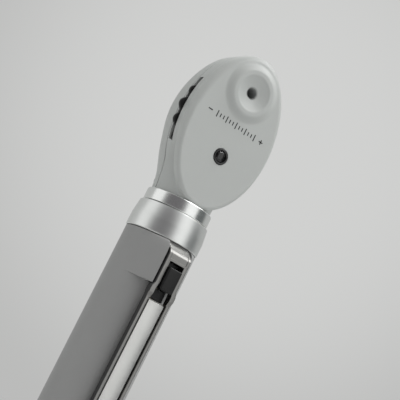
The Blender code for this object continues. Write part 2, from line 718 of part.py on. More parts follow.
# ---------------------------------------------------------------- optics and lamp
def make_windows(finishes):
    """The number window with its black bezel, the sight tube and the patient-side pane."""
    face = -FACE_Y
    outer = WINDOW_RADIUS - 0.00005
    inner = 0.0016
    bezel = turned("number_window_bezel",
                   [(inner, 0.0070), (outer, 0.0070), (outer, face + 0.00005),
                    (outer - 0.00015, face + 0.0002), (inner, face + 0.0001)],
                   finishes["black"], 24)
    face_examiner(bezel, WINDOW_Z)
    steps = 4
    angles = [math.pi / 2 * i / steps for i in range(steps + 1)]
    rim = 0.0015
    crown = 0.0006
    dome = [(rim * math.sin(a), face - 0.0003 + crown * math.cos(a)) for a in angles]
    lens = turned("number_window", [(0, 0.0076), (rim, 0.0076)] + dome[::-1],
                  finishes["glass"], SMALL_ROUND)
    face_examiner(lens, WINDOW_Z)
    bore = 0.0014
    outer = SIGHT_RADIUS - 0.00005
    tube = turned("sight_tube", [(bore, 0.0042), (outer, 0.0042), (outer, face), (bore, face)],
                  finishes["black"], SMALL_ROUND)
    face_examiner(tube, SIGHT_Z)
    pane = rod("patient_window", PATIENT_WINDOW_RADIUS, 0.0069, 0.0077, finishes["glass"], 24)
    face_along_y(pane, 0, 0, PATIENT_WINDOW_Z)


def make_mirror(finishes):
    """A mirror at 45 degrees that turns the lamp's light towards the patient."""
    front = -0.0020
    back = 0.0026
    foot = PATIENT_WINDOW_Z - 0.0021
    rise = back - front
    roof = foot + rise + 0.0005
    outline = [(front, foot), (back, foot + rise), (back, roof), (front, roof)]
    block = prism("optics_block", outline, -0.0034, 0.0034, finishes["black"])
    for side in (-1, 1):
        near, far = sorted((side * 0.0031, side * 0.0039))
        cheek = box(f"cheek_{side + 1}", (near, front - 0.0001, foot - 0.0010),
                    (far, 0.0066, roof + 0.0001), None)
        boolean(block, cheek, "UNION")
    away = 0.0002
    half_thick = 0.0003
    near = front + 0.0004 + away
    low = foot + 0.0004 - away
    far = back + away
    high = foot + rise - away
    drop = half_thick + 0.0003
    prism("mirror", [(near, low), (far, high), (far + half_thick, high - drop),
                     (near + half_thick, low - drop)], -0.0028, 0.0028, finishes["mirror"])


def make_light_path(finishes):
    """From the lamp in the neck up to the mirror: condenser, tube and objective lens."""
    tube_low = APERTURE_Z + 0.0014
    tube_high = RING_TOP + 0.0180
    seat = tube_high - 0.0022
    turned("optics_tube",
           [(0.0014, tube_low), (0.0022, tube_low), (0.0022, tube_high), (0.0018, tube_high),
            (0.0018, seat), (0.0014, seat - 0.0004)], finishes["black"], 24)
    lens_low = seat + 0.0003
    turned("objective_lens",
           [(0, lens_low - 0.0001), (0.0016, lens_low + 0.0001), (0.0016, lens_low + 0.0008),
            (0.0009, lens_low + 0.0012), (0, lens_low + 0.0013)], finishes["glass"], SMALL_ROUND)
    base = RING_TOP + 0.0050
    turned("condenser_lens",
           [(0, base), (0.0040, base), (0.0040, base + 0.0005), (0.0022, base + 0.0014),
            (0, base + 0.0017)], finishes["glass"], SMALL_ROUND)
    low = COLLAR_TOP + 0.0006
    top = RING_TOP + 0.0020
    turned("lamp_socket", [(0.0031, low), (0.0043, low), (0.0043, top), (0.0031, top)],
           finishes["brass"], 24)
    turned("lamp_base",
           [(0, low + 0.0001), (0.0010, low + 0.0001), (0.0028, low + 0.0008),
            (0.0028, RING_TOP + 0.0008), (0, RING_TOP + 0.0008)], finishes["steel"], SMALL_ROUND)
    bulb = RING_TOP + 0.0010
    dome = arc(0, bulb + 0.0014, 0.0020, 0, 90, 4)
    turned("lamp_bulb", [(0, bulb), (0.0020, bulb)] + dome[:-1] + [(0, dome[-1][1])],
           finishes["glass"], 16)


def make_aperture_wheel(finishes):
    """Upright-axled disc of light apertures, its ribbed rim out of the patient side."""
    ribs = 30
    points = []
    for i in range(ribs * 2):
        radius = APERTURE_RADIUS - (0.00025 if i % 2 else 0.0)
        angle = math.tau * i / (ribs * 2)
        points.append((radius * math.cos(angle), APERTURE_Y + radius * math.sin(angle)))
    low = APERTURE_Z - APERTURE_THICKNESS / 2
    high = APERTURE_Z + APERTURE_THICKNESS / 2
    wheel = prism("aperture_wheel", points, low, high, finishes["black"], "Z")
    for index in range(APERTURES):
        angle = -math.pi / 2 + math.tau * index / APERTURES
        radius = 0.0004 + 0.00018 * index
        hole = rod(f"aperture_cutter_{index}", radius, low - 0.001, high + 0.001, None, 12)
        circle = 0.0036
        hole.location = (circle * math.cos(angle), APERTURE_Y + circle * math.sin(angle), 0)
        boolean(wheel, hole)
    hub = rod("aperture_hub_cutter", 0.0009, low - 0.001, high + 0.001, None, 12)
    hub.location = (0, APERTURE_Y, 0)
    boolean(wheel, hub)
    axle = turned("aperture_axle",
                  [(0, low - 0.0012), (0.0008, low - 0.0012), (0.0008, high + 0.0003),
                   (0.0013, high + 0.0003), (0.0013, high + 0.0008), (0, high + 0.0008)],
                  finishes["steel"], 12)
    axle.location = (0, APERTURE_Y, 0)


# ---------------------------------------------------------------- the whole object
def main():
    for old in list(bpy.data.objects):
        bpy.data.objects.remove(old, do_unlink=True)
    finishes = make_materials()
    make_handle_body(finishes["handle"])
    make_collar(finishes["aluminium"])
    make_power(finishes)
    make_switch(finishes)
    make_clip_frame(finishes["steel"])
    make_clip_bar(finishes)
    make_head_ring(finishes["polished"])
    make_front_shell(finishes["head"])
    make_rear_shell(finishes["head"])
    for name, (x, z, seat) in SCREWS.items():
        make_screw(name, x, z, seat, finishes["steel"])
    make_lens_disc(finishes["black"])
    make_disc_lenses(finishes["glass"])
    make_disc_axle(finishes["steel"])
    make_detent(finishes["steel"])
    make_windows(finishes)
    make_mirror(finishes)
    make_light_path(finishes)
    make_aperture_wheel(finishes)


main()
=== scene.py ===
"""Looks of the pocket ophthalmoscope: materials, finer visible pieces, stage, light and camera.

The pieces sit where the CAD nodes are. Sizes are in metres; -Y is the examiner's side.
"""

import math

import bmesh
import bpy
from mathutils import Matrix, Vector


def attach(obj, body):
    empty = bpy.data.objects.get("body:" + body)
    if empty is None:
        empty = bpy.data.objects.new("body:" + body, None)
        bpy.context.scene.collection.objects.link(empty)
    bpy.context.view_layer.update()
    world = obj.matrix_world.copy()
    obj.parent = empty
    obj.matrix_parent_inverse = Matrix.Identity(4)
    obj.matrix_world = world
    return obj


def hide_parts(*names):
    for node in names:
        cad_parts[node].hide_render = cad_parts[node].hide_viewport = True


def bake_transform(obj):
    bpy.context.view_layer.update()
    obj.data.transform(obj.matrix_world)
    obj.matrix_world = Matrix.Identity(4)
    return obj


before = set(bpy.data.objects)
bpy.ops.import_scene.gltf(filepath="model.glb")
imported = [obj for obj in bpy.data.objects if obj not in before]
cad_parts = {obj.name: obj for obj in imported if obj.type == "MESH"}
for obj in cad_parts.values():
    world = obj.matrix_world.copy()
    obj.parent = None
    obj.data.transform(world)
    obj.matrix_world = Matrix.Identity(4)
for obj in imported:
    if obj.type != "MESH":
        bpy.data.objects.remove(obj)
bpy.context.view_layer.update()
scene = bpy.context.scene

# ---------------------------------------------------------------- sizes, as in the CAD
HANDLE_RADIUS = 0.00975
COLLAR_RADIUS = 0.0100
HANDLE_TOP = 0.1180
BORE_RADIUS = 0.0076
NECK_TOP = 0.1220
NECK_RADIUS = 0.0087
COLLAR_TOP = 0.1258
COLLAR_TOP_RADIUS = 0.00955
RING_TOP = 0.1292
RING_RADIUS = 0.0090
THROAT_RADIUS = 0.0046      # open through collar, ring and neck
FACE_HALF_WIDTH = 0.0134
FACE_HALF_HEIGHT = 0.0213
FACE_MIDDLE = RING_TOP + 0.0209
FACE_Y = -0.0087
PLATE_DEPTH = 0.0020
HEAD_NECK_RADIUS = 0.0083
HEAD_DEPTH = 0.0085
HEAD_WALL = 0.0013
SIGHT_Z = RING_TOP + 0.0324
SIGHT_RADIUS = 0.0016
BOSS_OUTER = 0.0081         # raised ring round the sight hole
BOSS_CREST = 0.0056
BOSS_HEIGHT = 0.0011
DISH_RADIUS = 0.0049
WINDOW_Z = RING_TOP + 0.01395
WINDOW_RADIUS = 0.00205
DISC_Z = RING_TOP + 0.0211
DISC_Y = -0.0031
DISC_THICKNESS = 0.0011
DISC_RADIUS = 0.01455
TRACK_RADIUS = 0.0151
SCALLOPS = 19
SCALLOP_DEPTH = 0.0015
SCALLOP_PHASE = math.radians(3.2)
LENS_STATIONS = 19
LENS_CIRCLE = SIGHT_Z - DISC_Z
SHOULDER_FRONT = 0.0127
CLIP_FRONT = 0.0129
CLIP_LEAN = 0.0186
CLIP_FLOOR = 0.0119
CLIP_HALF_WIDTH = 0.0036
CLIP_RAIL = 0.0009          # width of the rails beside the label
BAR_BACK = 0.0112
FRAME_BACK = 0.0096
FRAME_FRONT = 0.0134
FRAME_HALF_WIDTH = 0.0033
FRAME_FLARE = 0.0038
RECESS_HALF_WIDTH = 0.0022
BUTTON_FRONT = 0.0145
CLIP_BOTTOM = 0.0600
RECESS_TOP = HANDLE_TOP - 0.0047
RECESS_BOTTOM = HANDLE_TOP - 0.0149
SHOULDER_BOTTOM = HANDLE_TOP - 0.0113
BAR_TOP = RECESS_BOTTOM - 0.0003
PATIENT_WINDOW_Z = RING_TOP + 0.0272
PATIENT_WINDOW_RADIUS = 0.0025
APERTURE_Y = 0.0044
APERTURE_Z = RING_TOP + 0.0080
APERTURE_RADIUS = 0.0056
PARTING_Y = -0.0016
SEAM = 0.00023              # width of the line where two shells meet


# ---------------------------------------------------------------- material helpers
class Nodes:
    """A material's node tree, with short calls for the nodes used here."""

    def __init__(self, name):
        self.material = bpy.data.materials.new(name)
        self.material.use_nodes = True
        self.tree = self.material.node_tree
        self.shader = self.tree.nodes["Principled BSDF"]
        self.place = self.tree.nodes.new("ShaderNodeTexCoord")

    def join(self, source, target):
        self.tree.links.new(source, target)

    def set(self, **values):
        for name, value in values.items():
            self.shader.inputs[name.replace("_", " ")].default_value = value

    def feed(self, name, source):
        self.join(source, self.shader.inputs[name])

    def noise(self, scale, detail=3.0, roughness=0.5, stretch=(1, 1, 1), distortion=0.0):
        mapping = self.tree.nodes.new("ShaderNodeMapping")
        mapping.inputs["Scale"].default_value = stretch
        self.join(self.place.outputs["Object"], mapping.inputs["Vector"])
        node = self.tree.nodes.new("ShaderNodeTexNoise")
        node.inputs["Scale"].default_value = scale
        node.inputs["Detail"].default_value = detail
        node.inputs["Roughness"].default_value = roughness
        node.inputs["Distortion"].default_value = distortion
        self.join(mapping.outputs["Vector"], node.inputs["Vector"])
        return node.outputs["Fac"]

    def level(self, source, low, high, to_low, to_high):
        node = self.tree.nodes.new("ShaderNodeMapRange")
        node.inputs["From Min"].default_value = low
        node.inputs["From Max"].default_value = high
        node.inputs["To Min"].default_value = to_low
        node.inputs["To Max"].default_value = to_high
        self.join(source, node.inputs["Value"])
        return node.outputs["Result"]

    def math(self, operation, a, b=0.0):
        node = self.tree.nodes.new("ShaderNodeMath")
        node.operation = operation
        for socket, value in zip(node.inputs, (a, b)):
            if isinstance(value, (int, float)):
                socket.default_value = value
            else:
                self.join(value, socket)
        return node.outputs["Value"]

    def mix(self, share, a, b):
        """Colour a where share is 0 and b where it is 1."""
        node = self.tree.nodes.new("ShaderNodeMix")
        node.data_type = "RGBA"
        for name, value in (("Factor", share), ("A", a), ("B", b)):
            socket = [s for s in node.inputs if s.name == name and s.type != "VECTOR"]
            socket = socket[0] if name == "Factor" else [s for s in socket if s.type == "RGBA"][0]
            if isinstance(value, tuple):
                socket.default_value = (*value, 1.0)
            elif isinstance(value, (int, float)):
                socket.default_value = value
            else:
                self.join(value, socket)
        return [s for s in node.outputs if s.type == "RGBA"][0]

    def bump(self, height, distance, strength=1.0, under=None):
        node = self.tree.nodes.new("ShaderNodeBump")
        node.inputs["Strength"].default_value = strength
        node.inputs["Distance"].default_value = distance
        self.join(height, node.inputs["Height"])
        if under is not None:
            self.join(under, node.inputs["Normal"])
        return node.outputs["Normal"]

    def radius(self):
        """Distance from the object's own upright axis, and the height."""
        split = self.tree.nodes.new("ShaderNodeSeparateXYZ")
        self.join(self.place.outputs["Object"], split.inputs["Vector"])
        squares = [self.math("MULTIPLY", split.outputs[a], split.outputs[a]) for a in "XY"]
        return self.math("SQRT", self.math("ADD", *squares)), split.outputs["Z"]


def grey(level, warm=0.0):
    return (level * (1 + warm), level, level * (1 - warm))


def plastic(name, colour, shade, roughness, grain, grain_depth, specular=0.5, coat=0.0):
    """Moulded plastic: fine spark-eroded grain, faint cloudiness and uneven gloss."""
    n = Nodes(name)
    clouds = n.noise(55.0, 4.0, 0.55)
    specks = n.noise(grain * 0.45, 2.0)
    tone = n.math("ADD", n.math("MULTIPLY", clouds, 0.75), n.math("MULTIPLY", specks, 0.25))
    n.feed("Base Color", n.mix(n.level(tone, 0.35, 0.65, 0.0, 1.0), shade, colour))
    n.feed("Roughness", n.level(clouds, 0.3, 0.7, roughness * 0.93, roughness * 1.07))
    fine = n.noise(grain, 2.5, 0.6)
    n.feed("Normal", n.bump(fine, grain_depth))
    n.set(Specular_IOR_Level=specular, Coat_Weight=coat)
    return n.material


def turned_metal(name, colour, roughness, anisotropy, line_depth, cut=2600.0):
    """Turned aluminium: fine lathe lines round the axis, with their streaky reflections."""
    n = Nodes(name)
    lines = n.noise(cut, 3.0, 0.7, (0.02, 0.02, 1.0))
    worn = n.noise(90.0, 4.0, 0.6)
    tangent = n.tree.nodes.new("ShaderNodeTangent")
    tangent.direction_type = "RADIAL"
    tangent.axis = "Z"
    n.join(tangent.outputs["Tangent"], n.shader.inputs["Tangent"])
    n.feed("Base Color", n.mix(n.level(worn, 0.3, 0.7, 0.0, 1.0), tuple(c * 0.94 for c in colour),
                               colour))
    n.feed("Roughness", n.level(lines, 0.3, 0.7, roughness * 0.92, roughness * 1.08))
    n.feed("Normal", n.bump(lines, line_depth))
    n.set(Metallic=1.0, Anisotropic=anisotropy)
    return n.material


def sheet_metal(name, colour, roughness, brush=(1, 1, 0.03), metallic=1.0):
    """Rolled and brushed spring metal with handling marks."""
    n = Nodes(name)
    lines = n.noise(3800.0, 2.0, 0.6, brush)
    worn = n.noise(130.0, 5.0, 0.6)
    n.feed("Base Color", n.mix(n.level(worn, 0.3, 0.7, 0.0, 1.0), tuple(c * 0.88 for c in colour),
                               colour))
    n.feed("Roughness", n.level(n.math("ADD", n.math("MULTIPLY", lines, 0.5),
                                       n.math("MULTIPLY", worn, 0.5)),
                                0.3, 0.7, roughness * 0.75, roughness * 1.3))
    n.feed("Normal", n.bump(lines, 0.000003))
    n.set(Metallic=metallic)
    return n.material


def clear_glass(name, tint, smear=0.02):
    """Optical glass with a bloomed surface and the faintest smears."""
    n = Nodes(name)
    smears = n.noise(260.0, 5.0, 0.6, (1, 1, 0.4))
    n.feed("Roughness", n.level(smears, 0.4, 0.7, 0.01, 0.01 + smear))
    n.feed("Base Color", n.mix(smears, tint, tuple(min(1.0, c * 1.04) for c in tint)))
    n.set(IOR=1.5, Transmission_Weight=1.0, Coat_Weight=0.3)
    return n.material


def make_finishes():
    return {
        "head": plastic("head_plastic", (0.53, 0.547, 0.532), (0.512, 0.528, 0.514), 0.42, 5200.0,
                        0.000008, 0.45),
        "handle": plastic("handle_plastic", (0.34, 0.34, 0.338), (0.32, 0.32, 0.318), 0.46,
                          6000.0, 0.000015, 0.5),
        "black": plastic("black_plastic", (0.006, 0.006, 0.006), (0.004, 0.004, 0.004), 0.42,
                         5000.0, 0.000012, 0.35),
        "dial": plastic("dial_plastic", (0.007, 0.007, 0.007), (0.004, 0.004, 0.004), 0.42,
                        4200.0, 0.000006, 0.25),
        "gloss": plastic("gloss_black", (0.004, 0.004, 0.004), (0.003, 0.003, 0.003), 0.10,
                         3000.0, 0.000001, 0.5, 0.3),
        "tube": plastic("dark_tube", (0.42, 0.43, 0.425), (0.38, 0.39, 0.385), 0.5, 4000.0,
                        0.000004, 0.3),
        "white": plastic("white_plastic", (0.72, 0.72, 0.69), (0.66, 0.66, 0.63), 0.5, 4000.0,
                         0.00001),
        "print": plastic("printed_ink", (0.016, 0.016, 0.018), (0.011, 0.011, 0.012), 0.45,
                         6000.0, 0.000004, 0.4),
        "collar": turned_metal("satin_aluminium", (0.78, 0.79, 0.78), 0.31, 0.55, 0.0000004),
        "ring": turned_metal("polished_aluminium", (0.82, 0.83, 0.82), 0.20, 0.50, 0.0000006),
        "clip": sheet_metal("clip_metal", (0.25, 0.246, 0.238), 0.34),
        # painted shade: near-black metal for the clip's outer side faces, in place of the shade and
        # dark reflections there
        "edge_shade": sheet_metal("painted_edge_shade", (0.07, 0.07, 0.07), 0.50),
        "steel": sheet_metal("steel", (0.60, 0.60, 0.60), 0.28, (1, 1, 1)),
        "label": sheet_metal("silver_label", (0.62, 0.62, 0.605), 0.34, (1, 1, 0.05), 0.85),
        "brass": sheet_metal("brass", (0.72, 0.52, 0.22), 0.30, (1, 1, 0.3)),
        "cell": plastic("cell_sleeve", (0.06, 0.09, 0.16), (0.05, 0.07, 0.13), 0.25, 2400.0,
                        0.000004, 0.5, 0.4),
        "glass": clear_glass("optical_glass", (0.93, 0.96, 0.97)),
        "smoke": clear_glass("smoked_glass", (0.04, 0.04, 0.042)),
        "lens": clear_glass("dial_lens", (0.90, 0.96, 0.95), 0.01),
        "mirror": sheet_metal("mirror", (0.92, 0.92, 0.92), 0.03, (1, 1, 1)),
    }


FINISHES = make_finishes()


# ---------------------------------------------------------------- mesh helpers
def piece_from(name, bm, finish, sharp=35.0):
    """An object from a bmesh, shaded smooth but for its real edges."""
    bmesh.ops.recalc_face_normals(bm, faces=bm.faces)
    mesh = bpy.data.meshes.new(name)
    bm.to_mesh(mesh)
    bm.free()
    mesh.shade_smooth()
    mesh.set_sharp_from_angle(angle=math.radians(sharp))
    made = bpy.data.objects.new(name, mesh)
    scene.collection.objects.link(made)
    if finish:
        mesh.materials.append(FINISHES[finish])
        made["finish"] = finish
    return made


def settle(piece, body, *nodes):
    """The finished piece stands for those nodes and moves with the body."""
    if nodes:
        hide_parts(*nodes)
    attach(piece, body)
    return piece


def carve(target, *cutters, operation="DIFFERENCE", sharp=35.0):
    """Cuts the helpers out of the target, or joins them to it, and removes them."""
    for cutter in cutters:
        modifier = target.modifiers.new(cutter.name, "BOOLEAN")
        modifier.operation = operation
        modifier.solver = "MANIFOLD"
        modifier.object = cutter
    bpy.context.view_layer.update()
    graph = bpy.context.evaluated_depsgraph_get()
    carved = bpy.data.meshes.new_from_object(target.evaluated_get(graph))
    target.modifiers.clear()
    finish = list(target.data.materials)
    target.data = carved
    carved.materials.clear()
    for material in finish:
        carved.materials.append(material)
    carved.shade_smooth()
    carved.set_sharp_from_angle(angle=math.radians(sharp))
    for cutter in cutters:
        bpy.data.objects.remove(cutter, do_unlink=True)
    return target


def turned(name, profile, finish, sides=192, sharp=35.0):
    """A piece turned about Z from a closed loop of (radius, height)."""
    bm = bmesh.new()
    points = [bm.verts.new((radius, 0.0, height)) for radius, height in profile]
    edges = [bm.edges.new((a, b)) for a, b in zip(points, points[1:] + points[:1])]
    bmesh.ops.spin(bm, geom=points + edges, cent=(0, 0, 0), axis=(0, 0, 1),
                   angle=math.tau, steps=sides, use_merge=True)
    bmesh.ops.remove_doubles(bm, verts=bm.verts, dist=1e-7)
    loose = [e for e in bm.edges if not e.link_faces]
    bmesh.ops.delete(bm, geom=loose, context="EDGES")
    return piece_from(name, bm, finish, sharp)


def put(made, matrix):
    """Moves the mesh itself, so that the object stays at the origin."""
    made.data.transform(matrix)
    return made


def to_examiner(made, x, z):
    """Lays a turned piece's axis along -Y, through (x, z)."""
    return put(made, Matrix.Translation((x, 0, z)) @ Matrix.Rotation(math.pi / 2, 4, "X"))


def to_patient(made, x, z):
    """Lays a turned piece's axis along +Y, through (x, z)."""
    return put(made, Matrix.Translation((x, 0, z)) @ Matrix.Rotation(-math.pi / 2, 4, "X"))


def rod(name, radius, low, high, sides=64):
    return turned(name, [(0, low), (radius, low), (radius, high), (0, high)], None, sides)


def arc(cx, cy, radius, start, end, steps):
    angles = [math.radians(start + (end - start) * i / steps) for i in range(steps + 1)]
    return [(cx + radius * math.cos(a), cy + radius * math.sin(a)) for a in angles]


def block(name, low, high, finish, bevel=0.0, segments=3):
    """A box with its edges rounded."""
    bm = bmesh.new()
    bmesh.ops.create_cube(bm, size=1.0)
    size = Vector(high) - Vector(low)
    middle = (Vector(high) + Vector(low)) / 2
    bmesh.ops.transform(bm, matrix=Matrix.Translation(middle) @ Matrix.Diagonal((*size, 1.0)),
                        verts=bm.verts)
    if bevel:
        bmesh.ops.bevel(bm, geom=bm.edges, offset=bevel, segments=segments, profile=0.5,
                        affect="EDGES")
    return piece_from(name, bm, finish)


def prism(name, outline, low, high, finish, along="Y", sharp=35.0):
    """An outline pushed along X, Y or Z. Its pairs are (y, z), (x, z) or (x, y)."""
    place = {
        "X": lambda a, b, depth: (depth, a, b),
        "Y": lambda a, b, depth: (a, depth, b),
        "Z": lambda a, b, depth: (a, b, depth),
    }[along]
    bm = bmesh.new()
    base = bm.faces.new([bm.verts.new(place(a, b, low)) for a, b in outline])
    pushed = bmesh.ops.extrude_face_region(bm, geom=[base])
    ends = [v for v in pushed["geom"] if isinstance(v, bmesh.types.BMVert)]
    bmesh.ops.translate(bm, vec=place(0, 0, high - low), verts=ends)
    return piece_from(name, bm, finish, sharp)


def loft(name, rings, finish, sharp=35.0, weld=2e-7):
    """Skins a stack of closed rings of the same count and caps both ends."""
    bm = bmesh.new()
    made = [[bm.verts.new(p) for p in ring] for ring in rings]
    for one, two in zip(made, made[1:]):
        count = len(one)
        for k in range(count):
            bm.faces.new((one[k], one[(k + 1) % count], two[(k + 1) % count], two[k]))
    bm.faces.new(made[0][::-1])
    bm.faces.new(made[-1])
    bmesh.ops.remove_doubles(bm, verts=bm.verts, dist=weld)
    return piece_from(name, bm, finish, sharp)


# ---------------------------------------------------------------- the head's form
def smooth_step(value):
    value = min(max(value, 0.0), 1.0)
    return value * value * (3 - 2 * value)


def soft_max(a, b, blend):
    overlap = max(blend - abs(a - b), 0.0) / blend
    return max(a, b) + overlap * overlap * blend / 4


def oval(z, inset):
    """Half width of the oval at height z, drawn in by inset all round."""
    share = (z - FACE_MIDDLE) / (FACE_HALF_HEIGHT - inset)
    return (FACE_HALF_WIDTH - inset) * math.sqrt(max(0.0, 1 - share * share))


def face_edge(z):
    """Rounding of the face's rim: crisp near the neck, softer towards the top."""
    return 0.0010 + 0.0010 * smooth_step((z - RING_TOP - 0.010) / 0.026)


def plate_half_width(y, z, wall):
    """Half width of the face plate: a rounded rim in front, fading out behind."""
    front = FACE_Y + wall
    edge = face_edge(z)
    inset = wall
    if y < front + edge:
        inset += edge - math.sqrt(max(0.0, edge ** 2 - (y - front - edge) ** 2))
    back = FACE_Y + PLATE_DEPTH - wall
    if y > back:
        inset += 0.0006 * ((y - back) / 0.001) ** 2
    if abs(z - FACE_MIDDLE) >= FACE_HALF_HEIGHT - inset or inset >= FACE_HALF_WIDTH:
        return 0.0
    return oval(z, inset)


def body_half_width(y, z, wall):
    """Half width of the body behind the plate: round at the neck, boxier higher up."""
    rise = z - RING_TOP
    neck = HEAD_NECK_RADIUS - wall + 0.0024 * smooth_step(rise / 0.012)
    width = soft_max(oval(z, wall), neck * (1 - smooth_step((rise - 0.012) / 0.01)), 0.0008)
    top_share = max(0.0, (z - FACE_MIDDLE) / (FACE_HALF_HEIGHT + 0.0003 - wall))
    blunt = 5 if y > 0 else 14
    depth = (HEAD_DEPTH - wall) * max(0.0, 1 - top_share ** blunt) ** (1 / blunt)
    round_neck = HEAD_NECK_RADIUS - wall
    if rise < 0.005:
        depth = round_neck + (depth - round_neck) * smooth_step(rise / 0.005)
    if depth <= 0 or abs(y) >= depth:
        return 0.0
    if y > 0:
        power = 2 + 0.9 * smooth_step((rise - 0.011) / 0.012)
        power -= 0.6 * smooth_step((rise - 0.025) / 0.012)
    else:
        power = 2 + 4 * smooth_step((rise - 0.007) / 0.011)
    return width * (1 - (abs(y) / depth) ** power) ** (1 / power)


def head_half_width(y, z, wall):
    plate = plate_half_width(y, z, wall)
    body = body_half_width(y, z, wall)
    if plate <= 0 or body <= 0:
        return max(plate, body)
    return soft_max(plate, body, 0.0008)


def head_reach(z, wall, way):
    """How far the form reaches towards the examiner (way -1) or the patient (way +1)."""
    outer = FACE_Y + wall if way < 0 else HEAD_DEPTH
    if head_half_width(outer, z, wall) > 0:
        return outer
    inner = 0.0
    if head_half_width(inner, z, wall) <= 0:
        return DISC_Y
    for _ in range(20):
        middle = (outer + inner) / 2
        if head_half_width(middle, z, wall) > 0:
            inner = middle
        else:
            outer = middle
    return inner


def parting_y(z):
    """Where front and rear shell meet: mid-neck below, just behind the lens disc above."""
    return PARTING_Y * smooth_step((z - RING_TOP - 0.002) / 0.007)


def brow_rest(x, z):
    """Height of the raised ring and its dish round the sight hole, above the face."""
    r = math.hypot(x, z - SIGHT_Z)
    if r >= BOSS_CREST:
        return BOSS_HEIGHT * smooth_step((BOSS_OUTER - r) / (BOSS_OUTER - BOSS_CREST))
    share = min(r / DISH_RADIUS, 1.0)
    bowl = -0.0003 + (BOSS_HEIGHT + 0.0003) * share ** 1.5
    blend = smooth_step((r - DISH_RADIUS + 0.0006) / 0.0010)
    return bowl * (1 - blend) + BOSS_HEIGHT * blend


LEAST = 0.000004            # keeps the two flanks apart up to the very top


def shell_rings(way, levels, across, columns):
    """Horizontal sections of one half of the head, from the parting round the outside."""
    top = FACE_MIDDLE + FACE_HALF_HEIGHT
    low = RING_TOP + 0.0001
    fillet = 0.00010
    rings = []
    for i in range(levels + 1):
        left = 1 - i / levels
        z = top - (top - low) * (left ** 2 + 0.05 * left) / 1.05
        part = parting_y(z) + way * SEAM / 2
        reach = head_reach(z, 0.0, way)
        if (reach - part) * way < 0:
            reach = part
        sides = []
        for j in range(across + 1):
            y = reach + (part - reach) * (1 - math.cos(math.pi * j / across)) / 2
            half = head_half_width(y, z, 0.0)
            away = abs(part - y)
            if away < fillet:
                half -= fillet - math.sqrt(fillet ** 2 - (fillet - away) ** 2)
            sides.append((max(half, LEAST if j else 0.0), y))
        if i == levels:
            sides = [(0.0, y) for _, y in sides]
        width, y = sides[0]
        flat = [(width * (1 - 2 * k / columns), y) for k in range(columns + 1)]
        ring = [(x, y) for x, y in sides[:0:-1]] + flat + [(-x, y) for x, y in sides[1:]]
        if way < 0:
            ring = [(x, y - brow_rest(x, z) * (1 - smooth_step((y - FACE_Y) / PLATE_DEPTH)))
                    for x, y in ring]
        rings.append([(x, y, z) for x, y in ring])
    neck = 0.0069 / HEAD_NECK_RADIUS
    stub = [(x * neck, y * neck) for x, y, _ in rings[0]]
    rings.insert(0, [(x, y, low) for x, y in stub])
    rings.insert(0, [(x, y, COLLAR_TOP + 0.0003) for x, y in stub])
    return rings


def cavity(name, levels=70, across=30):
    """The hollow inside the head."""
    low = RING_TOP + 0.0045
    top = FACE_MIDDLE + FACE_HALF_HEIGHT - HEAD_WALL
    rings = []
    for i in range(levels + 1):
        left = 1 - i / levels
        z = top - (top - low) * (left ** 2 + 0.05 * left) / 1.05
        front = head_reach(z, HEAD_WALL, -1)
        back = head_reach(z, HEAD_WALL, 1)
        ys = [front + (back - front) * (1 - math.cos(math.pi * j / across)) / 2
              for j in range(across + 1)]
        half = [max(head_half_width(y, z, HEAD_WALL), LEAST) for y in ys]
        half[-1] = 0.0
        if i == levels:
            half = [0.0] * len(half)
        right = [(x, y, z) for x, y in zip(half, ys)]
        left = [(-x, y, z) for x, y in zip(half[:-1], ys[:-1])]
        rings.append(right + left[::-1])
    return loft(name, rings, None)


# ---------------------------------------------------------------- head shells
SCREWS = {
    "shell_screw_top": (0.0, RING_TOP + 0.0389, 0.0070),
    "shell_screw_left": (-0.0062, RING_TOP + 0.0026, 0.0052),
    "shell_screw_right": (0.0062, RING_TOP + 0.0026, 0.0052),
}


def screw_room(name, x, z, seat):
    """Counterbore for a shell screw."""
    head = 0.00125
    made = turned(name, [(0, -0.0047), (0.0008, -0.0047), (0.0008, seat - 0.0010),
                         (head, seat - 0.0010), (head, 0.012), (0, 0.012)], None, 48)
    return to_patient(made, x, z)


def disc_track(name):
    """Room for the lens disc, open where the disc shows at the flanks."""
    room = DISC_THICKNESS / 2 + 0.0003
    return to_patient(rod(name, TRACK_RADIUS, DISC_Y - room, DISC_Y + room, 256), 0, DISC_Z)


def flared_hole(name, radius, face, depth, edge):
    """A hole with a broken edge, measured outwards from the axis: from depth to the face."""
    return turned(name, [(0, depth), (radius, depth), (radius, face - edge),
                         (radius + 3 * edge, face + 2 * edge), (0, face + 2 * edge)], None, 96)


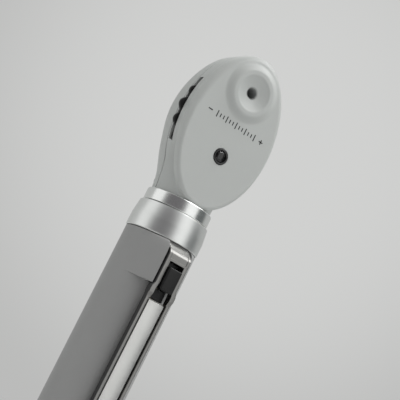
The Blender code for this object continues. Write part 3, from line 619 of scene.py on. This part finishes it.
def make_shells():
    front = loft("front_shell_form", shell_rings(-1, 230, 44, 110), "head")
    cuts = [cavity("front_cavity"), disc_track("front_track"),
            rod("front_bore", THROAT_RADIUS, COLLAR_TOP - 0.001, RING_TOP + 0.006)]
    bowl = -FACE_Y + brow_rest(SIGHT_RADIUS, SIGHT_Z)
    cuts.append(to_examiner(flared_hole("sight_hole", SIGHT_RADIUS, bowl, 0.002, 0.00008),
                            0, SIGHT_Z))
    cuts.append(to_examiner(flared_hole("window_hole", WINDOW_RADIUS + 0.0001, -FACE_Y, 0.006,
                                        0.00005), 0, WINDOW_Z))
    cuts += [screw_room("front_" + name, *place) for name, place in SCREWS.items()]
    carve(front, *cuts)
    front.name = "front_shell"
    settle(front, "head", "head_front_shell")

    rear = loft("rear_shell_form", shell_rings(1, 190, 44, 24), "head")
    cuts = [cavity("rear_cavity"),
            rod("rear_bore", THROAT_RADIUS, COLLAR_TOP - 0.001, RING_TOP + 0.006)]
    cuts.append(to_patient(flared_hole("view_hole", 0.0016, HEAD_DEPTH, 0.004, 0.0002),
                           0, SIGHT_Z))
    cuts.append(to_patient(flared_hole("light_hole", PATIENT_WINDOW_RADIUS + 0.0001, HEAD_DEPTH,
                                       0.004, 0.0002), 0, PATIENT_WINDOW_Z))
    cuts.append(put(rod("aperture_slot", APERTURE_RADIUS + 0.0003, APERTURE_Z - 0.0009,
                        APERTURE_Z + 0.0009, 96), Matrix.Translation((0, APERTURE_Y, 0))))
    cuts += [screw_room("rear_" + name, *place) for name, place in SCREWS.items()]
    carve(rear, *cuts)
    rear.name = "rear_shell"
    settle(rear, "head", "head_rear_shell")


def make_screws():
    for name, (x, z, seat) in SCREWS.items():
        low = seat - 0.0009
        crown = arc(0, low + 0.00065, 0.00095, 0, 90, 8)
        crown = [(r, low + 0.00055 + (h - low - 0.00065) * 0.35) for r, h in crown]
        screw = turned(name + "_form", [(0, -0.0045), (0.0004, -0.0045), (0.00065, -0.0041),
                                        (0.00065, low), (0.0011, low), (0.0011, low + 0.0004)]
                       + crown, "steel", 64)
        to_patient(screw, x, z)
        half = 0.00016
        carve(screw, block(name + "_across", (x - half, low + 0.0003, z - 0.0008),
                           (x + half, low + 0.002, z + 0.0008), None),
              block(name + "_along", (x - 0.0008, low + 0.0003, z - half),
                    (x + 0.0008, low + 0.002, z + half), None))
        screw.name = name + "_head"
        settle(screw, "head", name)


# ---------------------------------------------------------------- collar and ring
def make_rings():
    gap = 0.00015
    low = HANDLE_TOP + gap
    high = COLLAR_TOP - 0.00012
    bore = NECK_RADIUS + 0.0003
    step = HANDLE_TOP + 0.0042
    floor = NECK_TOP + 0.0003
    profile = [(bore, low)]
    profile += arc(COLLAR_RADIUS - 0.0003, low + 0.0003, 0.0003, -90, 0, 5)
    profile += [(COLLAR_RADIUS, step - 0.0004), (COLLAR_RADIUS - 0.00004, step)]
    profile += arc(COLLAR_TOP_RADIUS - 0.0002, high - 0.0002, 0.0002, 8, 90, 5)
    profile += [(THROAT_RADIUS, high), (THROAT_RADIUS, floor), (bore, floor)]
    settle(turned("twist_collar", profile, "collar", 256), "handle", "collar")

    low = COLLAR_TOP + 0.00012
    profile = [(0.0072, low)] + arc(RING_RADIUS - 0.00015, low + 0.00015, 0.00015, -90, 0, 4)
    profile += arc(RING_RADIUS - 0.0004, RING_TOP - 0.0004, 0.0004, 0, 90, 8)
    profile += [(0.0072, RING_TOP)]
    settle(turned("neck_ring", profile, "ring", 256), "head", "head_ring")


# ---------------------------------------------------------------- handle
def handle_radius_at(angle, reach):
    """Radius of the handle's section, the angle measured from -Y."""
    half = CLIP_HALF_WIDTH
    tube = HANDLE_RADIUS
    edge = math.hypot(half, reach)
    corner = math.atan2(half, reach)
    tangent = corner + math.acos(min(1.0, tube / edge))
    a = abs(angle)
    if edge <= tube or a >= tangent or a > math.pi / 2:
        return tube
    front = reach / max(math.cos(a), 1e-6)
    flank = tube / math.cos(tangent - a)
    blend = 0.00025
    overlap = max(blend - abs(front - flank), 0.0) / blend
    return max(min(front, flank) - overlap * overlap * blend / 4, tube)


def handle_section(z, radius, reach):
    """Ring of points, close together where the shoulders are."""
    near = math.radians(60)
    fine = [near * (i / 80) for i in range(81)]
    coarse = [near + (math.pi - near) * i / 40 for i in range(1, 41)]
    half = fine + coarse
    angles = half + [-a for a in half[-2:0:-1]]
    points = []
    for a in angles:
        r = handle_radius_at(a, reach) if reach else radius
        points.append((r * math.sin(a), -r * math.cos(a), z))
    return points


def make_handle():
    foot = 0.0015
    levels = [(z, r, 0.0) for r, z in arc(HANDLE_RADIUS - foot, foot, foot, -90, 0, 12)]
    # short faces on the long tube keep its shading even
    for z in (0.02, 0.04, 0.06, 0.08, 0.1, 0.105, 0.1063, SHOULDER_BOTTOM - 0.00002):
        levels.append((z, HANDLE_RADIUS, 0.0))
    reach = SHOULDER_FRONT
    lip = 0.00022
    for i in range(5):
        angle = math.pi / 2 * i / 4
        levels.append((SHOULDER_BOTTOM + lip * (1 - math.cos(angle)), HANDLE_RADIUS,
                       reach - lip * (1 - math.sin(angle))))
    rounding = 0.0036
    top = HANDLE_TOP - 0.00002
    start = COLLAR_RADIUS + 0.0001
    for i in range(17):
        angle = math.pi / 2 * i / 16
        levels.append((top - rounding * (1 - math.sin(angle)), HANDLE_RADIUS,
                       start + (reach - start) * math.cos(angle)))
    rings = [handle_section(*level) for level in levels]
    rings.append(handle_section(HANDLE_TOP, HANDLE_RADIUS - 0.00015, 0.0))
    rings.append(handle_section(HANDLE_TOP, NECK_RADIUS, 0.0))
    rings.append(handle_section(NECK_TOP, NECK_RADIUS, 0.0))
    handle = loft("handle_form", rings, "handle", 40.0)
    slot = CLIP_HALF_WIDTH - 0.0001
    face = 0.0001 - SHOULDER_FRONT
    flat = -0.0093
    edge = 0.00012
    cuts = [
        rod("bore_cut", BORE_RADIUS, 0.0030, 0.1240, 128),
        block("seat_cut", (-slot, -0.016, SHOULDER_BOTTOM - 0.0002),
              (slot, flat, HANDLE_TOP + 0.00001), None),
        block("pocket_cut", (-0.0025, -0.016, RECESS_BOTTOM - 0.0001),
              (0.0025, -0.0085, RECESS_TOP + 0.0002), None),
        block("groove_cut", (-0.0016, -0.0086, 0.0031), (0.0016, -0.0060, 0.1051), None),
    ]
    chamfer = prism("chamfer_cut", [(-slot - edge, face - 0.001), (-slot - edge, face + edge),
                                    (-slot, face + 3 * edge), (slot, face + 3 * edge),
                                    (slot + edge, face + edge), (slot + edge, face - 0.001)],
                    SHOULDER_BOTTOM - 0.001, HANDLE_TOP - 0.0001, None, "Z")
    carve(handle, *cuts, chamfer, sharp=40.0)
    handle.name = "handle_shell"
    return settle(handle, "handle", "handle_body")


# ---------------------------------------------------------------- clip
def clip_section(z, width, front, inner, depth, back):
    """One level of the clip: two rounded rails with a channel of that depth between them."""
    edge = min(0.00016, width * 0.3)
    right = [(0.0, back), (width - edge / 2, back), (width, back - edge / 2)]
    steps = 4
    for i in range(steps + 1):
        a = math.pi / 2 * i / steps
        right.append((width - edge + edge * math.cos(a), front + edge - edge * math.sin(a)))
    for i in range(steps + 1):
        a = math.pi / 2 * i / steps
        right.append((inner + edge - edge * math.sin(a),
                      front + min(edge - edge * math.cos(a), depth)))
    right += [(inner, front + depth), (0.0, front + depth)]
    left = [(-x, y) for x, y in right[-2:0:-1]]
    return [(x, y, z) for x, y in right + left]


def clip_lean(z):
    """How much nearer the bar comes to the handle below its root."""
    return CLIP_LEAN * max(BAR_TOP - z, 0.0)


def clip_levels():
    """Sections of bar and frame, from the rounded end up to the edge under the collar."""
    end = CLIP_HALF_WIDTH
    inside_rail = end - CLIP_RAIL
    channel = CLIP_FRONT - CLIP_FLOOR
    levels = []
    steps = 16
    for i in range(steps + 1):
        a = math.pi / 2 * i / steps
        width = max(end * math.sin(a), 0.0002)
        z = CLIP_BOTTOM + end * (1 - math.cos(a))
        inside = inside_rail ** 2 - (z - CLIP_BOTTOM - end) ** 2
        inner = math.sqrt(inside) if inside > 0 else 0.0
        levels.append((z, width, -CLIP_FRONT + clip_lean(z), min(inner, width * 0.8),
                       channel if inner else 0.0, clip_lean(z) - BAR_BACK))
    for z in (0.0800, 0.0950, 0.0990, 0.1005, 0.1015, 0.1022, BAR_TOP, RECESS_BOTTOM):
        levels.append((z, end, -CLIP_FRONT + clip_lean(z), inside_rail, channel,
                       clip_lean(z) - BAR_BACK))
    inner = 0.0024
    for i in range(7):
        share = i / 6
        z = RECESS_BOTTOM + 0.00001 + 0.0015 * share
        front = CLIP_FRONT + (FRAME_FRONT - CLIP_FRONT) * smooth_step(share)
        width = end + (FRAME_FLARE - end) * smooth_step(share)
        levels.append((z, width, -front, inner, 0.0, -BAR_BACK))
    low = SHOULDER_BOTTOM - 0.0011
    high = SHOULDER_BOTTOM + 0.0006
    for i in range(9):
        share = i / 8
        z = low + (high - low) * share
        width = FRAME_FLARE + (FRAME_HALF_WIDTH - FRAME_FLARE) * smooth_step(share)
        back = BAR_BACK if z < SHOULDER_BOTTOM - 0.0001 else FRAME_BACK
        levels.append((z, width, -FRAME_FRONT, inner, 0.0, -back))
    sunk = 0.00014
    brow = RECESS_TOP + 0.0005
    bend = RECESS_TOP + 0.0016
    top = HANDLE_TOP - 0.0004
    fall = FRAME_FRONT - COLLAR_RADIUS - 0.0003
    inward = [(brow, 0.0, 0.0), (brow + 0.0001, 0.0, sunk), (bend, 0.0, sunk)]
    for i in range(1, 13):
        share = i / 12
        inward.append((bend + (top - bend) * share, fall * share ** 1.7, sunk))
    for z, away, depth in inward:
        levels.append((z, FRAME_HALF_WIDTH, -FRAME_FRONT + away, inner, depth, -FRAME_BACK))
    return levels


def darken_edges(clip):
    """Painted shade: the strip's outer side faces get a near-black metal, standing in for the shade
    and dark reflections on them.
    """
    clip.data.materials.append(FINISHES["edge_shade"])
    middle = CLIP_BOTTOM + CLIP_HALF_WIDTH
    for face in clip.data.polygons:
        x, _, z = face.center
        out = Vector((x, min(z - middle, 0.0))).normalized()
        if z > middle:
            out = Vector((math.copysign(1.0, x), 0.0))
        facing = face.normal.x * out.x + face.normal.z * out.y
        reach = math.hypot(x, min(z - middle, 0.0))
        if facing > 0.8 and reach > 0.0030:
            face.material_index = len(clip.data.materials) - 1


def make_clip():
    """The spring clip: one strip from under the collar down to its rounded free end."""
    clip = loft("clip_form", [clip_section(*level) for level in clip_levels()], "clip", 32.0)
    wide = RECESS_HALF_WIDTH + 0.0003
    outline = [(RECESS_HALF_WIDTH, RECESS_TOP), (RECESS_HALF_WIDTH, SHOULDER_BOTTOM + 0.0006),
               (wide, SHOULDER_BOTTOM - 0.0011), (wide, RECESS_BOTTOM - 0.0001)]
    outline += [(-x, z) for x, z in outline[::-1]]
    recess = prism("recess_cut", outline, -0.016, -0.009, None, "Y")
    z = CLIP_BOTTOM + 0.0045
    back = clip_lean(z) - BAR_BACK
    bump = arc(back - 0.0004, z, 0.0009, -80, 80, 24)
    foot = prism("clip_foot", [(back - 0.0003, bump[0][1])] + bump + [(back - 0.0003, bump[-1][1])],
                 -0.0020, 0.0020, None, "X")
    carve(clip, recess, sharp=32.0)
    carve(clip, foot, operation="UNION", sharp=32.0)
    darken_edges(clip)
    clip.name = "spring_clip"
    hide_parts("clip_frame", "clip_bar")
    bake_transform(clip)

    label = CLIP_HALF_WIDTH - 0.0013
    high = RECESS_BOTTOM - 0.0004
    outline = [(label, high)]
    outline += arc(0, CLIP_BOTTOM + CLIP_HALF_WIDTH, label, 0, -180, 40) + [(-label, high)]
    strip = prism("strip_form", outline, -CLIP_FRONT + 0.0003, -CLIP_FLOOR - 0.0002, "label", "Y")
    for vertex in strip.data.vertices:
        vertex.co.y += clip_lean(vertex.co.z)
    soften(strip, 0.00008, 2)
    strip.name = "clip_strip"
    settle(strip, "clip", "clip_label")


def soften(made, width, segments):
    """Rounds the sharp edges of a finished form."""
    bm = bmesh.new()
    bm.from_mesh(made.data)
    sharp = [e for e in bm.edges if len(e.link_faces) == 2 and e.calc_face_angle(0) > 0.6]
    bmesh.ops.bevel(bm, geom=sharp, offset=width, segments=segments, profile=0.5,
                    affect="EDGES", clamp_overlap=True)
    bm.to_mesh(made.data)
    bm.free()
    made.data.shade_smooth()
    made.data.set_sharp_from_angle(angle=math.radians(50))
    return made


def make_switch():
    """The sliding switch: a rounded black button on a stem."""
    top = RECESS_TOP - 0.0014
    low = top - 0.0060
    half = RECESS_HALF_WIDTH - 0.0003
    knob = block("button_form", (-half, -BUTTON_FRONT, low), (half, -0.0113, top), "black",
                 0.00035, 4)
    stem = block("button_stem", (-0.0007, -0.0120, low + 0.0027), (0.0007, -0.0094, low + 0.0047),
                 None)
    carve(knob, stem, operation="UNION", sharp=40.0)
    knob.name = "switch_button"
    settle(knob, "slider", "switch_slider")


# ---------------------------------------------------------------- lens disc
def station_place(index, radius):
    angle = math.pi / 2 + math.tau * index / LENS_STATIONS
    return radius * math.cos(angle), DISC_Z + radius * math.sin(angle)


def make_lens_disc():
    """Scalloped thumb wheel with the lens stations and a rim softened on both sides."""
    half = DISC_THICKNESS / 2
    edge = 0.00015
    count = SCALLOPS * 20
    rings = []
    for y, inset in ((-half, edge), (-half + edge * 0.3, edge * 0.3), (-half + edge, 0.0),
                     (half - edge, 0.0), (half - edge * 0.3, edge * 0.3), (half, edge)):
        ring = []
        for i in range(count):
            turn = math.tau * i / count
            angle = turn + math.pi - SCALLOP_PHASE
            wave = abs(math.cos(SCALLOPS * turn / 2))
            wave = math.sqrt(wave * wave + 0.004)
            r = DISC_RADIUS - SCALLOP_DEPTH * (1 - min(wave, 1.0)) - inset
            ring.append((r * math.cos(angle), DISC_Y + y, DISC_Z + r * math.sin(angle)))
        rings.append(ring)
    disc = loft("disc_form", rings, "dial", 40.0)
    low = DISC_Y - half
    high = DISC_Y + half
    cuts = []
    for index in range(LENS_STATIONS):
        x, z = station_place(index, LENS_CIRCLE)
        hole = turned(f"station_{index:02d}",
                      [(0, low - 0.0001), (0.00145, low - 0.0001), (0.00125, low + 0.0001),
                       (0.00125, high - 0.0001), (0.00145, high + 0.0001), (0, high + 0.0001)],
                      None, 32)
        cuts.append(to_patient(hole, x, z))
    cuts.append(to_patient(rod("hub", 0.0013, low - 0.001, high + 0.001, 48), 0, DISC_Z))
    carve(disc, *cuts, sharp=40.0)
    disc.name = "lens_wheel_disc"
    settle(disc, "lens_wheel", "lens_disc")
    make_numbers(low)


SEGMENTS = {
    "0": "abcdef", "1": "bc", "2": "abged", "3": "abgcd", "4": "fgbc", "5": "afgcd",
    "6": "afgedc", "7": "abc", "8": "abcdefg", "9": "abcdfg",
}


def make_numbers(face):
    """Dioptre numbers on the disc, each coming up in the number window in its turn."""
    strokes = {
        "a": (0, 1, 1, 1), "b": (1, 0.5, 1, 1), "c": (1, 0, 1, 0.5), "d": (0, 0, 1, 0),
        "e": (0, 0, 0, 0.5), "f": (0, 0.5, 0, 1), "g": (0, 0.5, 1, 0.5),
    }
    values = [0, 1, 2, 3, 4, 6, 8, 10, 15, 20, 20, 15, 10, 8, 6, 4, 3, 2, 1]
    wide, high, pen, deep = 0.00042, 0.00085, 0.00006, 0.00002
    bm = bmesh.new()
    for index, value in enumerate(values):
        text = str(value)
        angle = -math.tau * index / LENS_STATIONS - math.pi / 2
        turn = Matrix.Translation((0, face, DISC_Z)) @ Matrix.Rotation(-angle - math.pi / 2, 4, "Y")
        start = -(len(text) * wide * 1.6 - wide * 0.6) / 2
        for place, digit in enumerate(text):
            left = start + place * wide * 1.6
            for stroke in SEGMENTS[digit]:
                x0, z0, x1, z1 = strokes[stroke]
                low = Vector((left + x0 * wide - pen, -deep, z0 * high - pen))
                top = Vector((left + x1 * wide + pen, deep, z1 * high + pen))
                made = bmesh.ops.create_cube(bm, size=1.0)["verts"]
                size = Matrix.Diagonal((*(top - low), 1.0))
                drop = Vector((0, 0, WINDOW_Z - DISC_Z - high / 2))
                at = Matrix.Translation((low + top) / 2 + drop)
                bmesh.ops.transform(bm, matrix=turn @ at @ size, verts=made)
    settle(piece_from("disc_numbers", bm, "white"), "lens_wheel")


# ---------------------------------------------------------------- windows and small pieces
def make_windows():
    face = -FACE_Y
    outer = WINDOW_RADIUS
    inner = 0.00155
    profile = [(inner, 0.0070), (outer, 0.0070), (outer, face + 0.00008)]
    profile += arc(outer - 0.00016, face + 0.00008, 0.00016, 0, 90, 6)
    profile += [(inner + 0.00012, face + 0.00020), (inner, face + 0.00006)]
    bezel = to_examiner(turned("bezel_form", profile, "gloss", 96), 0, WINDOW_Z)
    bezel.name = "window_bezel"
    settle(bezel, "head", "number_window_bezel")

    rim = 0.0015
    crown = [(rim * math.sin(a), face - 0.0003 + 0.0006 * math.cos(a))
             for a in (math.pi / 2 * i / 16 for i in range(17))]
    dome = turned("dome_form", [(0, 0.0076), (rim, 0.0076)] + crown[::-1], "smoke", 96)
    to_examiner(dome, 0, WINDOW_Z)
    dome.name = "number_lens"
    settle(dome, "head", "number_window")

    outer = SIGHT_RADIUS - 0.00005
    lip = face + brow_rest(SIGHT_RADIUS, SIGHT_Z) - 0.0001
    sleeve = turned("sleeve_form", [(0.0014, 0.0042), (outer, 0.0042), (outer, lip - 0.00006),
                                    (outer - 0.00006, lip), (0.0014, lip - 0.00003)], "tube", 96)
    to_examiner(sleeve, 0, SIGHT_Z)
    sleeve.name = "sight_sleeve"
    settle(sleeve, "head", "sight_tube")

    radius = PATIENT_WINDOW_RADIUS
    edge = 0.00015
    pane = turned("pane_form", [(0, 0.0069), (radius, 0.0069), (radius, 0.0077 - edge),
                                (radius - edge, 0.0077), (0, 0.0077)], "glass", 96)
    to_patient(pane, 0, PATIENT_WINDOW_Z)
    pane.name = "light_window"
    settle(pane, "head", "patient_window")


def make_aperture_wheel():
    """Ribbed thumb wheel with five light apertures, on an upright axle."""
    ribs = 30
    low = APERTURE_Z - 0.00045
    high = APERTURE_Z + 0.00045
    edge = 0.00012
    rings = []
    for z, inset in ((low, edge), (low + edge, 0.0), (high - edge, 0.0), (high, edge)):
        ring = []
        for i in range(ribs * 8):
            angle = math.tau * i / (ribs * 8)
            rib = 0.5 - 0.5 * math.cos(ribs * angle)
            r = APERTURE_RADIUS - 0.00025 * rib ** 2 - inset
            ring.append((r * math.cos(angle), APERTURE_Y + r * math.sin(angle), z))
        rings.append(ring)
    wheel = loft("wheel_form", rings, "black", 40.0)
    cuts = []
    for index in range(5):
        angle = -math.pi / 2 + math.tau * index / 5
        hole = rod(f"light_{index}", 0.0004 + 0.00018 * index, low - 0.001, high + 0.001, 32)
        cuts.append(put(hole, Matrix.Translation((0.0036 * math.cos(angle),
                                                  APERTURE_Y + 0.0036 * math.sin(angle), 0))))
    cuts.append(put(rod("hub", 0.0009, low - 0.001, high + 0.001, 32),
                    Matrix.Translation((0, APERTURE_Y, 0))))
    carve(wheel, *cuts, sharp=40.0)
    wheel.name = "aperture_dial"
    settle(wheel, "aperture", "aperture_wheel")


def make_scale():
    """Printed generic scale on the face: ticks between a minus and a plus sign."""
    bm = bmesh.new()
    middle = RING_TOP + 0.0229
    thick = 0.00003

    def bar(x0, z0, x1, z1):
        made = bmesh.ops.create_cube(bm, size=1.0)["verts"]
        size = Matrix.Diagonal((x1 - x0, thick * 2, z1 - z0, 1.0))
        at = Matrix.Translation(((x0 + x1) / 2, FACE_Y, (z0 + z1) / 2))
        bmesh.ops.transform(bm, matrix=at @ size, verts=made)

    pen = 0.00014
    step = 0.00105
    for i in range(-6, 7):
        high = 0.0009 if i % 3 == 0 else 0.0005
        x = i * step
        bar(x - pen, middle - high, x + pen, middle + high)
    sign = 0.00065
    bar(-0.0086 - sign, middle - pen, -0.0086 + sign, middle + pen)
    bar(0.0086 - sign, middle - pen, 0.0086 + sign, middle + pen)
    bar(0.0086 - pen, middle - sign, 0.0086 + pen, middle + sign)
    settle(piece_from("face_scale", bm, "print"), "head")


CARRIED = {
    "battery_spring": "steel", "battery_lower": "cell", "battery_upper": "cell",
    "contact_strip": "brass", "contact_insulator": "white", "contact_pin": "brass",
    "contact_spring": "steel", "switch_housing": "black", "switch_contact": "brass",
    "lens_disc_axle": "steel", "detent_spring": "steel",
    "optics_block": "black", "mirror": "mirror", "optics_tube": "black",
    "objective_lens": "lens", "condenser_lens": "lens", "lamp_bulb": "glass",
    "lamp_base": "steel", "lamp_socket": "brass", "aperture_axle": "steel",
}


def finish_cad_nodes():
    """Node-based finishes for the inner CAD nodes that stay as they are."""
    for node, finish in CARRIED.items():
        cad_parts[node].data.materials.clear()
        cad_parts[node].data.materials.append(FINISHES[finish])
    for index in range(1, LENS_STATIONS):
        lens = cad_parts[f"disc_lens_{index:02d}"]
        lens.data.materials.clear()
        lens.data.materials.append(FINISHES["lens"])


# ---------------------------------------------------------------- stage, light, camera
def make_floor():
    """A round pale floor whose edge fades into the backdrop."""
    bm = bmesh.new()
    bmesh.ops.create_grid(bm, x_segments=40, y_segments=40, size=1.5)
    for v in bm.verts:
        x, y = v.co.x / 1.5, v.co.y / 1.5
        v.co.x = 1.5 * x * math.sqrt(1 - y * y / 2)
        v.co.y = 1.5 * y * math.sqrt(1 - x * x / 2)
    mesh = bpy.data.meshes.new("floor")
    bm.to_mesh(mesh)
    bm.free()
    floor = bpy.data.objects.new("floor", mesh)
    scene.collection.objects.link(floor)
    n = Nodes("pale_floor")
    radius, _ = n.radius()
    grain = n.noise(40.0, 4.0)
    n.feed("Base Color", n.mix(n.level(grain, 0.3, 0.7, 0.0, 1.0), grey(0.58), grey(0.60)))
    n.feed("Alpha", n.level(radius, 0.35, 0.95, 1.0, 0.0))
    n.set(Roughness=0.9, Specular_IOR_Level=0.1)
    mesh.materials.append(n.material)


def direction(azimuth, elevation):
    """Unit vector away from the object. Azimuth 0 is the examiner's side, 90 its right."""
    a, e = math.radians(azimuth), math.radians(elevation)
    return Vector((math.sin(a) * math.cos(e), -math.cos(a) * math.cos(e), math.sin(e)))


def soft_box(name, azimuth, elevation, distance, width, height, glow, tint=(1, 1, 1)):
    light = bpy.data.lights.new(name, "AREA")
    light.shape = "RECTANGLE"
    light.size = width
    light.size_y = height
    light.energy = glow * math.pi * width * height
    light.color = tint
    made = bpy.data.objects.new(name, light)
    way = direction(azimuth, elevation)
    made.location = Vector((0, 0, 0.13)) + way * distance
    made.rotation_euler = way.to_track_quat("Z", "Y").to_euler()
    scene.collection.objects.link(made)


def studio_world():
    """A pale backdrop with a painted pool of light round the middle of the view, and around the
    object a light tent that is dimmer on two sides.
    """
    world = bpy.data.worlds.new("studio")
    scene.world = world
    world.use_nodes = True
    tree = world.node_tree
    background = tree.nodes["Background"]
    place = tree.nodes.new("ShaderNodeTexCoord")

    def toward(azimuth, elevation, near, far):
        """1 within the near angle of that direction, 0 beyond the far one."""
        dot = tree.nodes.new("ShaderNodeVectorMath")
        dot.operation = "DOT_PRODUCT"
        dot.inputs[1].default_value = direction(azimuth, elevation)
        tree.links.new(place.outputs["Generated"], dot.inputs[0])
        ramp = tree.nodes.new("ShaderNodeMapRange")
        ramp.interpolation_type = "SMOOTHSTEP"
        ramp.inputs["From Min"].default_value = math.cos(math.radians(far))
        ramp.inputs["From Max"].default_value = math.cos(math.radians(near))
        tree.links.new(dot.outputs["Value"], ramp.inputs["Value"])
        return ramp.outputs["Result"]

    def blend(share, a, b):
        node = tree.nodes.new("ShaderNodeMix")
        node.data_type = "RGBA"
        inputs = {s.name: s for s in node.inputs if s.type == "RGBA"}
        factor = [s for s in node.inputs if s.name == "Factor" and s.type == "VALUE"][0]
        tree.links.new(share, factor)
        for name, value in (("A", a), ("B", b)):
            if isinstance(value, tuple):
                inputs[name].default_value = (*value, 1.0)
            else:
                tree.links.new(value, inputs[name])
        return [s for s in node.outputs if s.type == "RGBA"][0]

    tent = (0.50, 0.508, 0.50)
    shade = blend(toward(-42, 5, 22, 44), tent, (0.16, 0.155, 0.16))
    shade = blend(toward(62, 5, 12, 28), shade, (0.13, 0.14, 0.14))
    # painted light: the backdrop the camera sees is brighter round the direction it looks
    seen = blend(toward(150, 14.5, 0, 18.8), (0.496, 0.499, 0.493), (0.633, 0.637, 0.629))
    path = tree.nodes.new("ShaderNodeLightPath")
    colour = blend(path.outputs["Is Camera Ray"], shade, seen)
    tree.links.new(colour, background.inputs["Color"])
    background.inputs["Strength"].default_value = 1.0


def make_camera():
    """Low on the examiner's left, looking up, tilted sideways."""
    ahead = direction(-28.437 + 180, 0)
    elevation = math.radians(10.2)
    ahead = Vector((ahead.x * math.cos(elevation), ahead.y * math.cos(elevation),
                    math.sin(elevation)))
    right = ahead.cross(Vector((0, 0, 1))).normalized()
    above = right.cross(ahead)
    roll = math.radians(26.4)
    across = right * math.cos(roll) + above * math.sin(roll)
    upward = above * math.cos(roll) - right * math.sin(roll)
    camera = bpy.data.cameras.new("camera")
    camera.sensor_width = 36.0
    camera.lens = 93.6
    camera.clip_start = 0.01
    camera.clip_end = 20.0
    made = bpy.data.objects.new("camera", camera)
    scene.collection.objects.link(made)
    turn = Matrix((across, upward, -ahead)).transposed().to_4x4()
    place = direction(-27.5, 0) * 0.264 + Vector((0, 0, 0.0847))
    made.matrix_world = Matrix.Translation(place) @ turn
    scene.camera = made


def main():
    make_camera()
    make_shells()
    make_screws()
    make_rings()
    make_handle()
    make_clip()
    make_switch()
    make_lens_disc()
    make_windows()
    make_aperture_wheel()
    make_scale()
    finish_cad_nodes()
    make_floor()
    soft_box("key_light", 20, 12, 0.9, 0.68, 1.0, 0.62)
    soft_box("side_light", -106, 8, 0.9, 0.70, 1.1, 0.50)
    soft_box("front_top_light", 46, 60, 1.2, 1.2, 0.5, 4.6)
    soft_box("back_top_light", 160, 68, 1.1, 1.0, 1.0, 1.0)
    studio_world()
    scene.view_settings.view_transform = "Standard"
    scene.view_settings.look = "None"


main()
